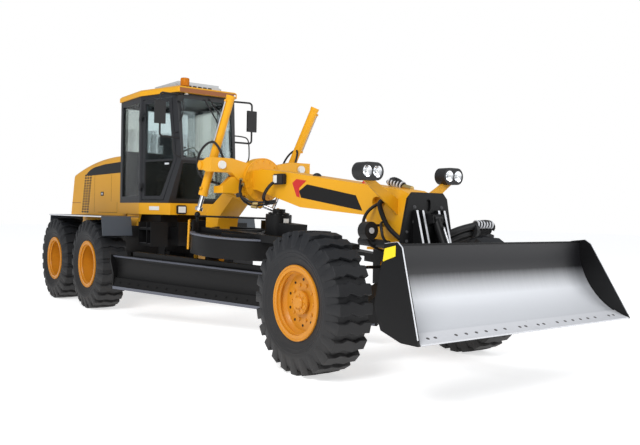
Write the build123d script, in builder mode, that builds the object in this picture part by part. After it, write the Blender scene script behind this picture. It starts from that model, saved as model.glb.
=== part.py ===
"""Motor grader with a front dozer blade.

Sizes are millimetres. X points forward, Y to the machine's left and Z up.
The origin lies on the ground under the middle of the whole machine's box.
Lengths along the machine are stations, counted forward from the tandem pivot.
"""
from build123d import *
from math import cos, hypot, radians, sin, tan
import os

os.makedirs("parts", exist_ok=True)

# ---------------------------------------------------------------- driving sizes
TAIL_REACH = 2200            # tandem pivot back to the hood's tail
NOSE_REACH = 7980            # tandem pivot forward to the dozer's cutting edge
PIVOT_X = (TAIL_REACH - NOSE_REACH) / 2      # the tandem pivot in the machine's frame
WHEELBASE = 6219             # tandem pivot to the front axle
TANDEM_SPREAD = 769          # tandem pivot to each tandem wheel
HALF_TRACK = 1090            # middle of each wheel from the centre line

TYRE_R = 675                 # out to the lugs' tips
TYRE_WIDTH = 445
CARCASS_R = 640              # under the lugs
BEAD_R = 318
FLANGE_R = 355
RIM_WIDTH = 380
RIM_WALL = 18
RUN = 0.3                    # gap between faces that turn on each other

HITCH_X = PIVOT_X + 2300     # articulation pin
FRONT_X = PIVOT_X + WHEELBASE
RAIL_TOP = 1080
RAIL_BOTTOM = 820
RAIL_IN = 300
RAIL_OUT = 400


def save(piece, name):
    """Label a finished piece and write it as its own file."""
    piece.part.label = name
    export_step(piece.part, f"parts/{name}.step")


# Each helper adds one simple solid to the part that is being built. A frame is
# the plane whose own axes the numbers are measured along.
GROUND = Plane.XY


def at(frame, x, y, z):
    """A point given along a frame's own axes."""
    return frame.from_local_coords(Vector(x, y, z))


def slab(points, z0, z1, frame=GROUND, mode=Mode.ADD):
    """An outline of (x, y) points, raised from z0 to z1."""
    with BuildSketch(frame.offset(z0)) as outline:
        with BuildLine():
            Polyline(*points, close=True)
        make_face()
    extrude(to_extrude=outline.sketch, amount=z1 - z0, mode=mode)


def side(points, y0, y1, frame=GROUND, mode=Mode.ADD):
    """A side view of (x, z) points, drawn from y1 across to y0."""
    plane = Plane(origin=at(frame, 0, y1, 0), x_dir=frame.x_dir, z_dir=-frame.y_dir)
    with BuildSketch(plane) as outline:
        with BuildLine():
            Polyline(*points, close=True)
        make_face()
    extrude(to_extrude=outline.sketch, amount=y1 - y0, mode=mode)


def front(points, x0, x1, frame=GROUND, mode=Mode.ADD):
    """A front view of (y, z) points, drawn from x0 forward to x1."""
    plane = Plane(origin=at(frame, x0, 0, 0), x_dir=frame.y_dir, z_dir=frame.x_dir)
    with BuildSketch(plane) as outline:
        with BuildLine():
            Polyline(*points, close=True)
        make_face()
    extrude(to_extrude=outline.sketch, amount=x1 - x0, mode=mode)


def block(x0, x1, y0, y1, z0, z1, frame=GROUND, mode=Mode.ADD):
    """A plain block between two corners."""
    slab([(x0, y0), (x1, y0), (x1, y1), (x0, y1)], z0, z1, frame, mode)


def bar(start, end, radius, mode=Mode.ADD):
    """A round bar between two points."""
    run = Vector(*end) - Vector(*start)
    with BuildSketch(Plane(origin=start, z_dir=run)) as ring:
        Circle(radius)
    extrude(to_extrude=ring.sketch, amount=run.length, mode=mode)


def ball(centre, radius, mode=Mode.ADD):
    """A ball at a point."""
    with Locations(centre):
        Sphere(radius, mode=mode)


def oval(centre, long_axis, facing, length, height, deep, mode=Mode.ADD):
    """A round-ended plate or hole: its middle, its long axis and the way it faces."""
    with BuildSketch(Plane(origin=centre, x_dir=long_axis, z_dir=facing)) as outline:
        SlotOverall(length, height)
    extrude(to_extrude=outline.sketch, amount=deep, mode=mode)


def both(sides=(1, -1)):
    """Left, then right."""
    return ((1, "left"), (-1, "right")) if len(sides) == 2 else ()


# ---------------------------------------------------------------- rear frame
HITCH_PIN_R = 42
FORK_R = 110                 # round of the hitch plates about the pin
FORK_LOW = (1000, 1050)      # lower hitch plate, bottom and top, over the turning blade
FORK_HIGH = (1290, 1345)     # upper hitch plate
STEP_X = (1560, 2000)        # boarding steps, rear and front
NECK_X = 1400                # where the rails step up to the hitch
DECK_TOP = 1110
HOOD_HALF = 520
HOOD_FRONT = 430             # stations
CAB_BASE_BOTTOM = 1450
CAB_FLOOR = 1620
CAB_FLOOR_PLATE = 30

with BuildPart() as rear_frame:
    for hand, _ in both():
        y0, y1 = sorted((hand * RAIL_IN, hand * RAIL_OUT))
        block(PIVOT_X - 2050, PIVOT_X + NECK_X, y0, y1, RAIL_BOTTOM, RAIL_TOP)
        block(PIVOT_X + NECK_X - 120, PIVOT_X + 2060, y0, y1, FORK_LOW[0], FORK_LOW[0] + RAIL_TOP - RAIL_BOTTOM)
        # tank and tool boxes that carry the cab
        y0, y1 = sorted((hand * 280, hand * 540))
        block(PIVOT_X + 560, PIVOT_X + STEP_X[0] + 200, y0, y1, RAIL_TOP, CAB_FLOOR - CAB_FLOOR_PLATE)
        # hood deck
        y0, y1 = sorted((hand * 330, hand * HOOD_HALF))
        block(PIVOT_X - 2100, PIVOT_X + HOOD_FRONT, y0, y1, RAIL_TOP, DECK_TOP)
        # boarding steps hung from the tool box
        y0, y1 = sorted((hand * 540, hand * 800))
        for step_z in (1000, 1225):
            block(PIVOT_X + STEP_X[0] + 20, PIVOT_X + STEP_X[1], y0, y1, step_z, step_z + 30)
        for plate_x in (STEP_X[0], STEP_X[0] + 280, STEP_X[1] - 20):
            side([(PIVOT_X + plate_x, 990), (PIVOT_X + plate_x + 20, 990),
                  (PIVOT_X + plate_x + 20, 1340), (PIVOT_X + plate_x, 1340)], y0, y1)
    block(PIVOT_X - 2150, PIVOT_X - 2050, -480, 480, 720, DECK_TOP)
    block(PIVOT_X + 2000, PIVOT_X + 2060, -RAIL_OUT, RAIL_OUT, FORK_LOW[0], FORK_HIGH[1])
    for low, high in (FORK_LOW, FORK_HIGH):
        slab([(PIVOT_X + 2060, -230), (HITCH_X, -FORK_R + 8), (HITCH_X, FORK_R - 8),
              (PIVOT_X + 2060, 230)], low, high)
        bar((HITCH_X, 0, low), (HITCH_X, 0, high), FORK_R)
    bar((HITCH_X, 0, FORK_LOW[0]), (HITCH_X, 0, FORK_HIGH[1]), HITCH_PIN_R)
save(rear_frame, "rear_frame")

with BuildPart() as engine_block:
    block(PIVOT_X - 1500, PIVOT_X - 250, -(RAIL_IN + 25), RAIL_IN + 25, RAIL_TOP, 1780)
save(engine_block, "engine_block")

# ---------------------------------------------------------------- tandem drive
AXLE_TUBE_R = 130
CASE_IN = 690
CASE_OUT = 840
CASE_HALF_H = 130
RIM_INNER = HALF_TRACK - RIM_WIDTH / 2       # inner edge of each rim
REAR_DISC_Y = RIM_INNER + 60                 # inner face of the rear rims' discs

with BuildPart() as tandem_drive:
    bar((PIVOT_X, -CASE_IN, TYRE_R), (PIVOT_X, CASE_IN, TYRE_R), AXLE_TUBE_R)
    bar((PIVOT_X, -190, TYRE_R), (PIVOT_X, 190, TYRE_R), 235)
    for hand, _ in both():
        y0, y1 = sorted((hand * CASE_IN, hand * CASE_OUT))
        side([(PIVOT_X - TANDEM_SPREAD, TYRE_R - CASE_HALF_H),
              (PIVOT_X + TANDEM_SPREAD, TYRE_R - CASE_HALF_H),
              (PIVOT_X + TANDEM_SPREAD, TYRE_R + CASE_HALF_H),
              (PIVOT_X - TANDEM_SPREAD, TYRE_R + CASE_HALF_H)], y0, y1)
        for spread in (-TANDEM_SPREAD, TANDEM_SPREAD):
            bar((PIVOT_X + spread, y0, TYRE_R), (PIVOT_X + spread, y1, TYRE_R), CASE_HALF_H)
            bar((PIVOT_X + spread, hand * CASE_OUT, TYRE_R),
                (PIVOT_X + spread, hand * (REAR_DISC_Y - RUN), TYRE_R), 90)
        # saddle under each frame rail
        y0, y1 = sorted((hand * (RAIL_IN + 10), hand * (RAIL_OUT - 10)))
        block(PIVOT_X - 150, PIVOT_X + 150, y0, y1, TYRE_R, RAIL_BOTTOM)
save(tandem_drive, "tandem_drive")

# ---------------------------------------------------------------- wheels
FRONT_DISC_Y = HALF_TRACK + RIM_WIDTH / 2 - 100    # outer face of the front rims' discs
DISC_WALL = 26
FLANGE_WALL = 12
LUGS = 24                    # bars across each tyre
LUG_SPAN = 9.4               # degrees round the tyre
SHOULDER = 34                # the lugs' ends lean in by this much
BULGE_R = 500                # where the tyre is widest
# each lug's two edges round the tyre, with one lug flat on the ground
LUG_EDGES = [radians(-90 + 360 / LUGS * lug + way * LUG_SPAN / 2) for lug in range(LUGS) for way in (-1, 1)]
FLAT = cos(radians(LUG_SPAN / 2))            # a flat's distance over its corners'


def tyre_ring(x, radius):
    """A flat-sided ring about the wheel's axle, a side for each lug and each gap."""
    return [(x + radius * cos(turn), TYRE_R + radius * sin(turn)) for turn in LUG_EDGES]


def lug_outline(x):
    """The tread seen from the side, out to the lugs' tips and down to the carcass."""
    outline = []
    for low, high in zip(tyre_ring(x, CARCASS_R), tyre_ring(x, TYRE_R / FLAT)):
        outline += [low, high] if len(outline) % 4 == 0 else [high, low]
    return outline


def sidewall(x, y0, r0, y1, r1, mode):
    """A flat-sided cone about the wheel's axle, from radius r0 at y0 to r1 at y1."""
    rings = []
    for y, radius in ((y0, r0), (y1, r1)):
        with BuildSketch(Plane(origin=(0, y, 0), x_dir=(1, 0, 0), z_dir=(0, -1, 0))) as ring:
            with BuildLine():
                Polyline(*tyre_ring(x, radius), close=True)
            make_face()
        rings.append(ring.sketch)
    loft(sections=rings, ruled=True, mode=mode)


# columns: name, station, hand (1 left, -1 right), disc from, disc to, hub radius, hub end
WHEELS = [
    (f"{row}_{name}", station, hand, *disc)
    for row, station, disc in (
        ("front", WHEELBASE, (FRONT_DISC_Y - DISC_WALL, FRONT_DISC_Y, 95, FRONT_DISC_Y + 45)),
        ("middle", TANDEM_SPREAD, (REAR_DISC_Y, REAR_DISC_Y + DISC_WALL, 120, REAR_DISC_Y + 110)),
        ("rear", -TANDEM_SPREAD, (REAR_DISC_Y, REAR_DISC_Y + DISC_WALL, 120, REAR_DISC_Y + 110)))
    for hand, name in both()
]

# one tyre about the upright plane through the origin, the same for every wheel
with BuildPart() as tyre:
    half = TYRE_WIDTH / 2
    bead = RIM_WIDTH / 2 - FLANGE_WALL
    side(lug_outline(0), -half, half)
    for way in (1, -1):
        # the lugs' ends and the sidewall lean in to the tips and on past them, and the bead is dished
        with BuildPart(mode=Mode.PRIVATE) as tyre_end:
            past_y, past_r = half - 2 * SHOULDER, 2 * TYRE_R / FLAT - BULGE_R
            sidewall(0, way * half, BULGE_R, way * past_y, past_r, Mode.ADD)
            side(tyre_ring(0, past_r), *sorted((way * past_y, -way * (half + 5))))
        add(tyre_end.part, mode=Mode.INTERSECT)
        sidewall(0, way * half, BULGE_R, way * bead, FLANGE_R + 8, Mode.SUBTRACT)
    side(tyre_ring(0, BEAD_R / FLAT), -half, half, mode=Mode.SUBTRACT)

for name, station, hand, disc_in, disc_out, hub_r, hub_end in WHEELS:
    x = PIVOT_X + station
    axle = Axis((x, 0, TYRE_R), (0, 1, 0))
    section = Plane(origin=(x, hand * HALF_TRACK, TYRE_R), x_dir=(1, 0, 0), z_dir=(0, 0, 1))
    with BuildPart() as placed_tyre:
        add(tyre.part.moved(Location((x, hand * HALF_TRACK, 0))))
    save(placed_tyre, f"tyre_{name}")

    with BuildPart() as rim:
        with BuildSketch(section):
            for edge in (-RIM_WIDTH / 2 + FLANGE_WALL / 2, RIM_WIDTH / 2 - FLANGE_WALL / 2):
                with Locations(((BEAD_R - RIM_WALL + FLANGE_R) / 2, edge)):
                    Rectangle(FLANGE_R - BEAD_R + RIM_WALL, FLANGE_WALL)
            with Locations((BEAD_R - RIM_WALL / 2, 0)):
                Rectangle(RIM_WALL, RIM_WIDTH)
        revolve(axis=axle)
        bar((x, hand * disc_in, TYRE_R), (x, hand * disc_out, TYRE_R), BEAD_R - RIM_WALL / 2)
        bar((x, hand * disc_out, TYRE_R), (x, hand * hub_end, TYRE_R), hub_r)
    save(rim, f"rim_{name}")

# ---------------------------------------------------------------- engine hood
HOOD_WALL = 25
HOOD_TAIL_TOP = (-2030, 2160)
HOOD_TAIL_LOW = 1430
HOOD_MID_TOP = (-1100, 2330)
HOOD_FRONT_TOP = 2390
TAIL_LEAN = (HOOD_TAIL_TOP[0] + TAIL_REACH) / (HOOD_TAIL_TOP[1] - HOOD_TAIL_LOW)
LOUVRE_FOOT = (-1634, 1452)  # rear corner of the lowest louvre, station and height
LOUVRE_PITCH = (125, 47)
LOUVRE = (95, 18)            # each one's length and height
LOUVRE_ROWS = 15
LOUVRE_DEEP = 10
GRILLE_LOW = 1250
GRILLE_PITCH = 45
GRILLE_SLOT = 22
GRILLE_ROWS = 18
GRILLE_HALF = 400


def hood_profile(inset):
    """The hood's side view, inset all round by a wall."""
    with BuildLine() as outline:
        tail = (PIVOT_X - TAIL_REACH + inset, HOOD_TAIL_LOW)
        tail_top = (PIVOT_X + HOOD_TAIL_TOP[0] + inset, HOOD_TAIL_TOP[1] - inset)
        mid_top = (PIVOT_X + HOOD_MID_TOP[0], HOOD_MID_TOP[1] - inset)
        nose_top = (PIVOT_X + HOOD_FRONT - inset, HOOD_FRONT_TOP - inset)
        Polyline(nose_top, (PIVOT_X + HOOD_FRONT - inset, DECK_TOP),
                 (PIVOT_X - TAIL_REACH + inset, DECK_TOP), tail, tail_top)
        ThreePointArc(tail_top, mid_top, nose_top)
    return outline.line


with BuildPart() as engine_hood:
    with BuildSketch(Plane.XZ.offset(-HOOD_HALF)):
        add(hood_profile(0))
        make_face()
    extrude(amount=2 * HOOD_HALF)
    fillet(engine_hood.faces().sort_by(Axis.Z)[-1].edges().filter_by(GeomType.CIRCLE), radius=60)
    with BuildSketch(Plane.XZ.offset(-(HOOD_HALF - HOOD_WALL))):
        add(hood_profile(HOOD_WALL))
        make_face()
    extrude(amount=2 * (HOOD_HALF - HOOD_WALL), mode=Mode.SUBTRACT)
    # louvres down each side, pressed into the wall, leaning with the tail
    for row in range(LOUVRE_ROWS):
        z = LOUVRE_FOOT[1] + row * LOUVRE_PITCH[1]
        for column in range(3):
            x = PIVOT_X + LOUVRE_FOOT[0] + (z - LOUVRE_FOOT[1]) * TAIL_LEAN + column * LOUVRE_PITCH[0]
            for hand, _ in both():
                block(x, x + LOUVRE[0], *sorted((hand * (HOOD_HALF - LOUVRE_DEEP), hand * (HOOD_HALF + 5))),
                      z, z + LOUVRE[1], mode=Mode.SUBTRACT)
    # the radiator's grille across the tail
    for row in range(GRILLE_ROWS):
        z = GRILLE_LOW + row * GRILLE_PITCH
        x = PIVOT_X - TAIL_REACH + max(0, z - HOOD_TAIL_LOW) * TAIL_LEAN
        block(x - 20, x + LOUVRE_DEEP, -GRILLE_HALF, GRILLE_HALF, z, z + GRILLE_SLOT, mode=Mode.SUBTRACT)
save(engine_hood, "engine_hood")

with BuildPart() as engine_stacks:
    # mushroom air pre-cleaner and exhaust pipe on the hood's top
    for x, y, pipe_r, cap_r, cap_low, top in ((PIVOT_X + 130, -60, 70, 120, 2640, 2840),
                                              (PIVOT_X - 260, 240, 55, 55, 2700, 2900)):
        bar((x, y, HOOD_FRONT_TOP - HOOD_WALL / 2), (x, y, top), pipe_r)
        bar((x, y, cap_low), (x, y, top), cap_r)
    add(engine_hood.part, mode=Mode.SUBTRACT)
save(engine_stacks, "engine_stacks")

# ---------------------------------------------------------------- fenders
FENDER_Z = 1400
FENDER_WALL = 12
FENDER_OUT = 1300

with BuildPart() as fenders:
    for hand, _ in both():
        plan = [(-1450, HOOD_HALF), (-1450, 1140), (-1000, FENDER_OUT), (1410, FENDER_OUT),
                (1410, 725), (HOOD_FRONT + 10, 725), (HOOD_FRONT + 10, HOOD_HALF)]
        slab([(PIVOT_X + x, hand * y) for x, y in plan], FENDER_Z, FENDER_Z + FENDER_WALL)
        y0, y1 = sorted((hand * 855, hand * (FENDER_OUT + 5)))
        side([(PIVOT_X + 1398, FENDER_Z + FENDER_WALL), (PIVOT_X + 1410, FENDER_Z + FENDER_WALL),
              (PIVOT_X + 1475, 1130), (PIVOT_X + 1463, 1130)], y0, y1)
        y0, y1 = sorted((hand * 560, hand * 1140))
        side([(PIVOT_X - 1450, FENDER_Z + FENDER_WALL), (PIVOT_X - 1438, FENDER_Z + FENDER_WALL),
              (PIVOT_X - 1478, 1160), (PIVOT_X - 1490, 1160)], y0, y1)
save(fenders, "fenders")

# ---------------------------------------------------------------- cab
CAB_REAR = 457
CAB_KINK = 1330
KINK_HALF = 690
REAR_HALF = 640
FRONT_TAPER = 0.277          # how fast the cab narrows ahead of the kink posts
CAB_TOP = 3220
WALL = 45
BROW = (2210, 2245)          # the windscreen's knee, station and height
BROW_TOP = 2090              # windscreen at the roof, station
CAB_TOE = 1950               # windscreen at the floor, station


def cab_half(station):
    """Half the cab's width at a station."""
    if station >= CAB_KINK:
        return KINK_HALF - (station - CAB_KINK) * FRONT_TAPER
    return KINK_HALF - (CAB_KINK - station) * (KINK_HALF - REAR_HALF) / (CAB_KINK - CAB_REAR)


def cab_plan(inset, nose=2300, grow=0):
    """The cab's plan, inset by a wall or grown by an overhang."""
    left = [(CAB_REAR + inset, cab_half(CAB_REAR) - inset + grow),
            (CAB_KINK, KINK_HALF - inset + grow),
            (nose, cab_half(nose) - inset + grow)]
    right = [(x, -y) for x, y in reversed(left)]
    return [(PIVOT_X + x, y) for x, y in left + right]


def cab_side(inset):
    """The cab's side view, inset at its front and rear."""
    outline = [(CAB_REAR + inset, CAB_FLOOR), (CAB_TOE - inset, CAB_FLOOR),
               (BROW[0] - inset, BROW[1]), (BROW_TOP - inset, CAB_TOP), (CAB_REAR + inset, CAB_TOP)]
    return [(PIVOT_X + x, z) for x, z in outline]


DOOR_REAR = 1372             # stations of the door opening
DOOR_TOE = 1850
DOOR_BROW = 2110
DOOR_HEAD = 2000
DOOR_LOW = 1660
DOOR_HIGH = 3160
DOOR_GAP = 10
DOOR_FRAME = 55
PANE = 8
WINDOW_MARGIN = 50


def door_outline(inset):
    """The side view of the door opening, inset all round."""
    outline = [(DOOR_REAR + inset, DOOR_LOW + inset), (DOOR_TOE - inset, DOOR_LOW + inset),
               (DOOR_BROW - inset, BROW[1]), (DOOR_HEAD - inset, DOOR_HIGH - inset),
               (DOOR_REAR + inset, DOOR_HIGH - inset)]
    return [(PIVOT_X + x, z) for x, z in outline]


def window_box(x0, x1, z0, z1):
    """A plain window's side view between two stations."""
    return [(PIVOT_X + x0, z0), (PIVOT_X + x1, z0), (PIVOT_X + x1, z1), (PIVOT_X + x0, z1)]


DOOR_HINGES = (1850, 2900)   # underside of each hinge's upper half
DOOR_LEAF = 60
DOOR_KNUCKLE_R = 18
DOOR_PIN_R = 9
HINGE_PROUD = 30             # the hinge line stands this far outside the door's skin
DOOR_PIN_X = PIVOT_X + DOOR_REAR + DOOR_GAP
DOOR_PIN_Y = cab_half(DOOR_REAR + DOOR_GAP) + HINGE_PROUD

REAR_SIDE_WINDOW = window_box(CAB_REAR + 90, CAB_KINK - 60, 1720, 3130)
SCREEN_HALF = 410
SCREEN_LOW = (1690, 2205)    # lower pane of the windscreen, bottom and top
SCREEN_HIGH = (2285, 3140)
REAR_WINDOW = (2450, 3130)
REAR_WINDOW_HALF = 540

with BuildPart() as cab_frame:
    slab(cab_plan(0), CAB_FLOOR, CAB_TOP)
    side(cab_side(0), -800, 800, mode=Mode.INTERSECT)
    with BuildPart(mode=Mode.PRIVATE) as cab_room:
        slab(cab_plan(WALL), CAB_FLOOR, CAB_TOP)
        side(cab_side(WALL), -800, 800, mode=Mode.INTERSECT)
    add(cab_room.part, mode=Mode.SUBTRACT)
    for hand, _ in both():
        y0, y1 = sorted((hand * 300, hand * 900))
        side(door_outline(0), y0, y1, mode=Mode.SUBTRACT)
        side(REAR_SIDE_WINDOW, y0, y1, mode=Mode.SUBTRACT)
    for low, high in (SCREEN_LOW, SCREEN_HIGH):
        block(PIVOT_X + 1800, PIVOT_X + 2300, -SCREEN_HALF, SCREEN_HALF, low, high,
              mode=Mode.SUBTRACT)
    block(PIVOT_X + 400, PIVOT_X + 600, -REAR_WINDOW_HALF, REAR_WINDOW_HALF, *REAR_WINDOW,
          mode=Mode.SUBTRACT)
    # lower halves of the door hinges, with their pins
    for hand, _ in both():
        for low in DOOR_HINGES:
            base = low - RUN - DOOR_LEAF
            block(DOOR_PIN_X - 62, DOOR_PIN_X - 12, *sorted((hand * (DOOR_PIN_Y - 55),
                                                             hand * (DOOR_PIN_Y + 10))),
                  base, base + DOOR_LEAF)
            block(DOOR_PIN_X - 12, DOOR_PIN_X, *sorted((hand * (DOOR_PIN_Y - 10),
                                                        hand * (DOOR_PIN_Y + 10))),
                  base, base + DOOR_LEAF)
            bar((DOOR_PIN_X, hand * DOOR_PIN_Y, base), (DOOR_PIN_X, hand * DOOR_PIN_Y,
                                                        base + DOOR_LEAF), DOOR_KNUCKLE_R)
            bar((DOOR_PIN_X, hand * DOOR_PIN_Y, base), (DOOR_PIN_X, hand * DOOR_PIN_Y,
                                                        low + DOOR_LEAF), DOOR_PIN_R)
save(cab_frame, "cab_frame")

with BuildPart() as cab_glass:
    # panes stand in the middle of the walls, cut to the windows
    with BuildPart(mode=Mode.PRIVATE) as outer_skin:
        slab(cab_plan(WALL / 2 - PANE / 2), CAB_FLOOR, CAB_TOP)
        side(cab_side(WALL / 2 - PANE / 2), -800, 800, mode=Mode.INTERSECT)
    with BuildPart(mode=Mode.PRIVATE) as inner_skin:
        slab(cab_plan(WALL / 2 + PANE / 2), CAB_FLOOR, CAB_TOP)
        side(cab_side(WALL / 2 + PANE / 2), -800, 800, mode=Mode.INTERSECT)
    with BuildPart(mode=Mode.PRIVATE) as openings:
        for hand, _ in both():
            y0, y1 = sorted((hand * 560, hand * 900))
            side(REAR_SIDE_WINDOW, y0, y1)
        for low, high in (SCREEN_LOW, SCREEN_HIGH):
            block(PIVOT_X + 1850, PIVOT_X + 2300, -SCREEN_HALF, SCREEN_HALF, low, high)
        block(PIVOT_X + 400, PIVOT_X + 540, -REAR_WINDOW_HALF, REAR_WINDOW_HALF, *REAR_WINDOW)
    add(outer_skin.part)
    add(inner_skin.part, mode=Mode.SUBTRACT)
    add(openings.part, mode=Mode.INTERSECT)
save(cab_glass, "cab_glass")

for hand, name in both():
    with BuildPart() as door:
        skin = [(x, cab_half(x)) for x in (CAB_KINK, BROW[0])]
        plan = skin + [(x, y - WALL) for x, y in reversed(skin)]
        slab([(PIVOT_X + x, hand * y) for x, y in plan], DOOR_LOW, DOOR_HIGH)
        side(door_outline(DOOR_GAP), -900, 900, mode=Mode.INTERSECT)
        side(door_outline(DOOR_GAP + DOOR_FRAME), -900, 900, mode=Mode.SUBTRACT)
        # hinge leaves that reach out to the hinge line
        for low in DOOR_HINGES:
            block(DOOR_PIN_X + 2, DOOR_PIN_X + 42,
                  *sorted((hand * (DOOR_PIN_Y - HINGE_PROUD - 20), hand * DOOR_PIN_Y)),
                  low, low + DOOR_LEAF)
            bar((DOOR_PIN_X, hand * DOOR_PIN_Y, low), (DOOR_PIN_X, hand * DOOR_PIN_Y,
                                                       low + DOOR_LEAF), DOOR_KNUCKLE_R)
            bar((DOOR_PIN_X, hand * DOOR_PIN_Y, low - 1), (DOOR_PIN_X, hand * DOOR_PIN_Y,
                                                           low + DOOR_LEAF + 1),
                DOOR_PIN_R + RUN, mode=Mode.SUBTRACT)
    save(door, f"door_{name}")

    with BuildPart() as pane:
        plan = ([(x, y - WALL / 2 + PANE / 2) for x, y in skin]
                + [(x, y - WALL / 2 - PANE / 2) for x, y in reversed(skin)])
        slab([(PIVOT_X + x, hand * y) for x, y in plan], DOOR_LOW, DOOR_HIGH)
        side(door_outline(DOOR_GAP + DOOR_FRAME), -900, 900, mode=Mode.INTERSECT)
    save(pane, f"door_glass_{name}")

# the yellow base that the cab stands on, with a deeper box at its rear
BASE_WALL = 30
with BuildPart() as cab_base:
    slab(cab_plan(0, nose=CAB_TOE + 60, grow=10), CAB_BASE_BOTTOM, CAB_FLOOR)
    slab(cab_plan(BASE_WALL, nose=CAB_TOE + 30, grow=10), CAB_BASE_BOTTOM,
         CAB_FLOOR - CAB_FLOOR_PLATE, mode=Mode.SUBTRACT)
    for hand, _ in both():
        y0, y1 = sorted((hand * 620, hand * 660))
        side([(PIVOT_X + x, z) for x, z in ((815, 1450), (815, 1270), (1158, 1270), (1263, 1450))],
             y0, y1)
save(cab_base, "cab_base")

ROOF_TOP = 3310
with BuildPart() as cab_roof:
    slab(cab_plan(-10, nose=2160, grow=12), CAB_TOP, ROOF_TOP)
    chamfer(cab_roof.faces().sort_by(Axis.Z)[-1].edges(), length=25)
save(cab_roof, "cab_roof")

with BuildPart() as cab_fittings:
    # air unit and beacon on the roof
    slab([(PIVOT_X + x, y) for x, y in ((950, -330), (1850, -330), (1850, 400), (950, 400))],
         ROOF_TOP, ROOF_TOP + 85)
    chamfer(cab_fittings.faces().sort_by(Axis.Z)[-1].edges(), length=40)
    for vent in range(5):
        block(PIVOT_X + 1840, PIVOT_X + 1860, -185 + 85 * vent, -125 + 85 * vent, ROOF_TOP + 14,
              ROOF_TOP + 36, mode=Mode.SUBTRACT)
    bar((PIVOT_X + 1990, -300, ROOF_TOP), (PIVOT_X + 1990, -300, ROOF_TOP + 140), 60)
    # mirrors on tube loops at the front posts
    for hand, _ in both():
        post = (PIVOT_X + BROW_TOP, hand * 440)
        loop = [(post[0], post[1], CAB_TOP - 40), (post[0] + 60, hand * 760, CAB_TOP - 40),
                (post[0] + 60, hand * 760, 2560), (post[0] + 60, hand * 440, 2560)]
        with BuildLine() as route:
            FilletPolyline(*loop, radius=50)
        with BuildSketch(Plane(origin=route.line @ 0, z_dir=route.line % 0)) as ring:
            Circle(14)
        sweep(sections=ring.sketch, path=route.line)
        block(post[0] + 40, post[0] + 78, *sorted((hand * 680, hand * 840)), 2740, 3060)
    add(cab_frame.part, mode=Mode.SUBTRACT)
    with BuildPart(mode=Mode.PRIVATE) as cab_room:
        slab(cab_plan(WALL), CAB_FLOOR, CAB_TOP)
        side(cab_side(WALL), -800, 800, mode=Mode.INTERSECT)
    add(cab_room.part, mode=Mode.SUBTRACT)
save(cab_fittings, "cab_fittings")

with BuildPart() as cab_interior:
    # seat: base, cushion, back
    block(PIVOT_X + 850, PIVOT_X + 1250, -200, 200, CAB_FLOOR, 1950)
    block(PIVOT_X + 800, PIVOT_X + 1320, -250, 250, 1950, 2090)
    side([(PIVOT_X + x, z) for x, z in ((800, 2090), (930, 2090), (830, 2760), (710, 2760))],
         -240, 240)
    # steering console with its wheel
    side([(PIVOT_X + x, z) for x, z in ((1640, CAB_FLOOR), (1800, CAB_FLOOR), (1700, 2280),
                                        (1590, 2280))], -170, 170)
    bar((PIVOT_X + 1560, 0, 2300), (PIVOT_X + 1620, 0, 2270), 190)
save(cab_interior, "cab_interior")

# ---------------------------------------------------------------- front frame
BEAM_HALF = 160
# the frame's side view: stations and heights, from the hitch block round its underside
SPINE = [(2440, 1010), (2700, 1010), (2800, 1430), (3300, 1800), (3750, 1800), (4200, 1700),
         (4730, 1580), (5900, 1504), (6050, 1150), (6050, 800), (6450, 800), (6450, 1150),
         (6630, 1300), (6630, 1690), (6450, 1760), (4400, 2007), (3900, 2060), (3400, 2040),
         (2950, 1790), (2440, 1500)]
TONGUE_CLEAR = 8             # above and below the tongue, inside the fork
BALL_X = 5930                # drawbar ball, station
BALL_Z = 1052
BALL_PLATE = 88              # half the gap between the ball's plates
LEAN_PIVOT_Z = 480
LEAN_BAR_Z = 980
KING_Y = 790

with BuildPart() as main_frame:
    side([(PIVOT_X + x, z) for x, z in SPINE], -BEAM_HALF, BEAM_HALF)
    block(HITCH_X, PIVOT_X + 2500, -95, 95, FORK_LOW[1] + TONGUE_CLEAR,
          FORK_HIGH[0] - TONGUE_CLEAR)
    bar((HITCH_X, 0, FORK_LOW[1] + TONGUE_CLEAR), (HITCH_X, 0, FORK_HIGH[0] - TONGUE_CLEAR), 95)
    bar((HITCH_X, 0, FORK_LOW[0]), (HITCH_X, 0, FORK_HIGH[1]), HITCH_PIN_R + RUN, mode=Mode.SUBTRACT)
    for low in (BALL_Z - BALL_PLATE - 28, BALL_Z + BALL_PLATE):
        block(PIVOT_X + BALL_X - 70, PIVOT_X + 6060, -90, 90, low, low + 28)
    # oval holes where the hoses leave the beam
    for hand, _ in both():
        oval((PIVOT_X + 6110, hand * BEAM_HALF, 1640), (1, 0, 0), (0, -hand, 0), 200, 110, 60,
             mode=Mode.SUBTRACT)
    # window for the lean bar
    block(FRONT_X - 60, FRONT_X + 60, -BEAM_HALF, BEAM_HALF, LEAN_BAR_Z - 60, LEAN_BAR_Z + 50,
          mode=Mode.SUBTRACT)
save(main_frame, "main_frame")

# ---------------------------------------------------------------- lift saddle
SADDLE_X = (3540, 3680)      # the ring round the beam
SADDLE_R = 290
SADDLE_Z = 1930
TRUNNION = (3390, 615, 2100)          # lift cylinders' cross pins: station, half spacing, height
CHEEK = 40
RING_WALL = 27
RING_GAP_Y = 85              # half the ring's opening across, room for the barrel to roll
RING_HALF_Y = RING_GAP_Y + RING_WALL
RING_HALF_Z = 30
RING_PIN_R = 24
CHEEK_HALF_Z = 60
CHEEK_IN = TRUNNION[1] - RING_HALF_Y - CHEEK - RUN
CHEEK_OUT = TRUNNION[1] + RING_HALF_Y + CHEEK + RUN
SHIFT_BASE = (3473, -500, 1795)       # centre-shift cylinder's base pin
SHIFT_EAR = 48               # half the gap between its ears
SHIFT_EAR_WALL = 20
SHIFT_EAR_ROUND = 45         # the ears' reach round the pin

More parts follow.
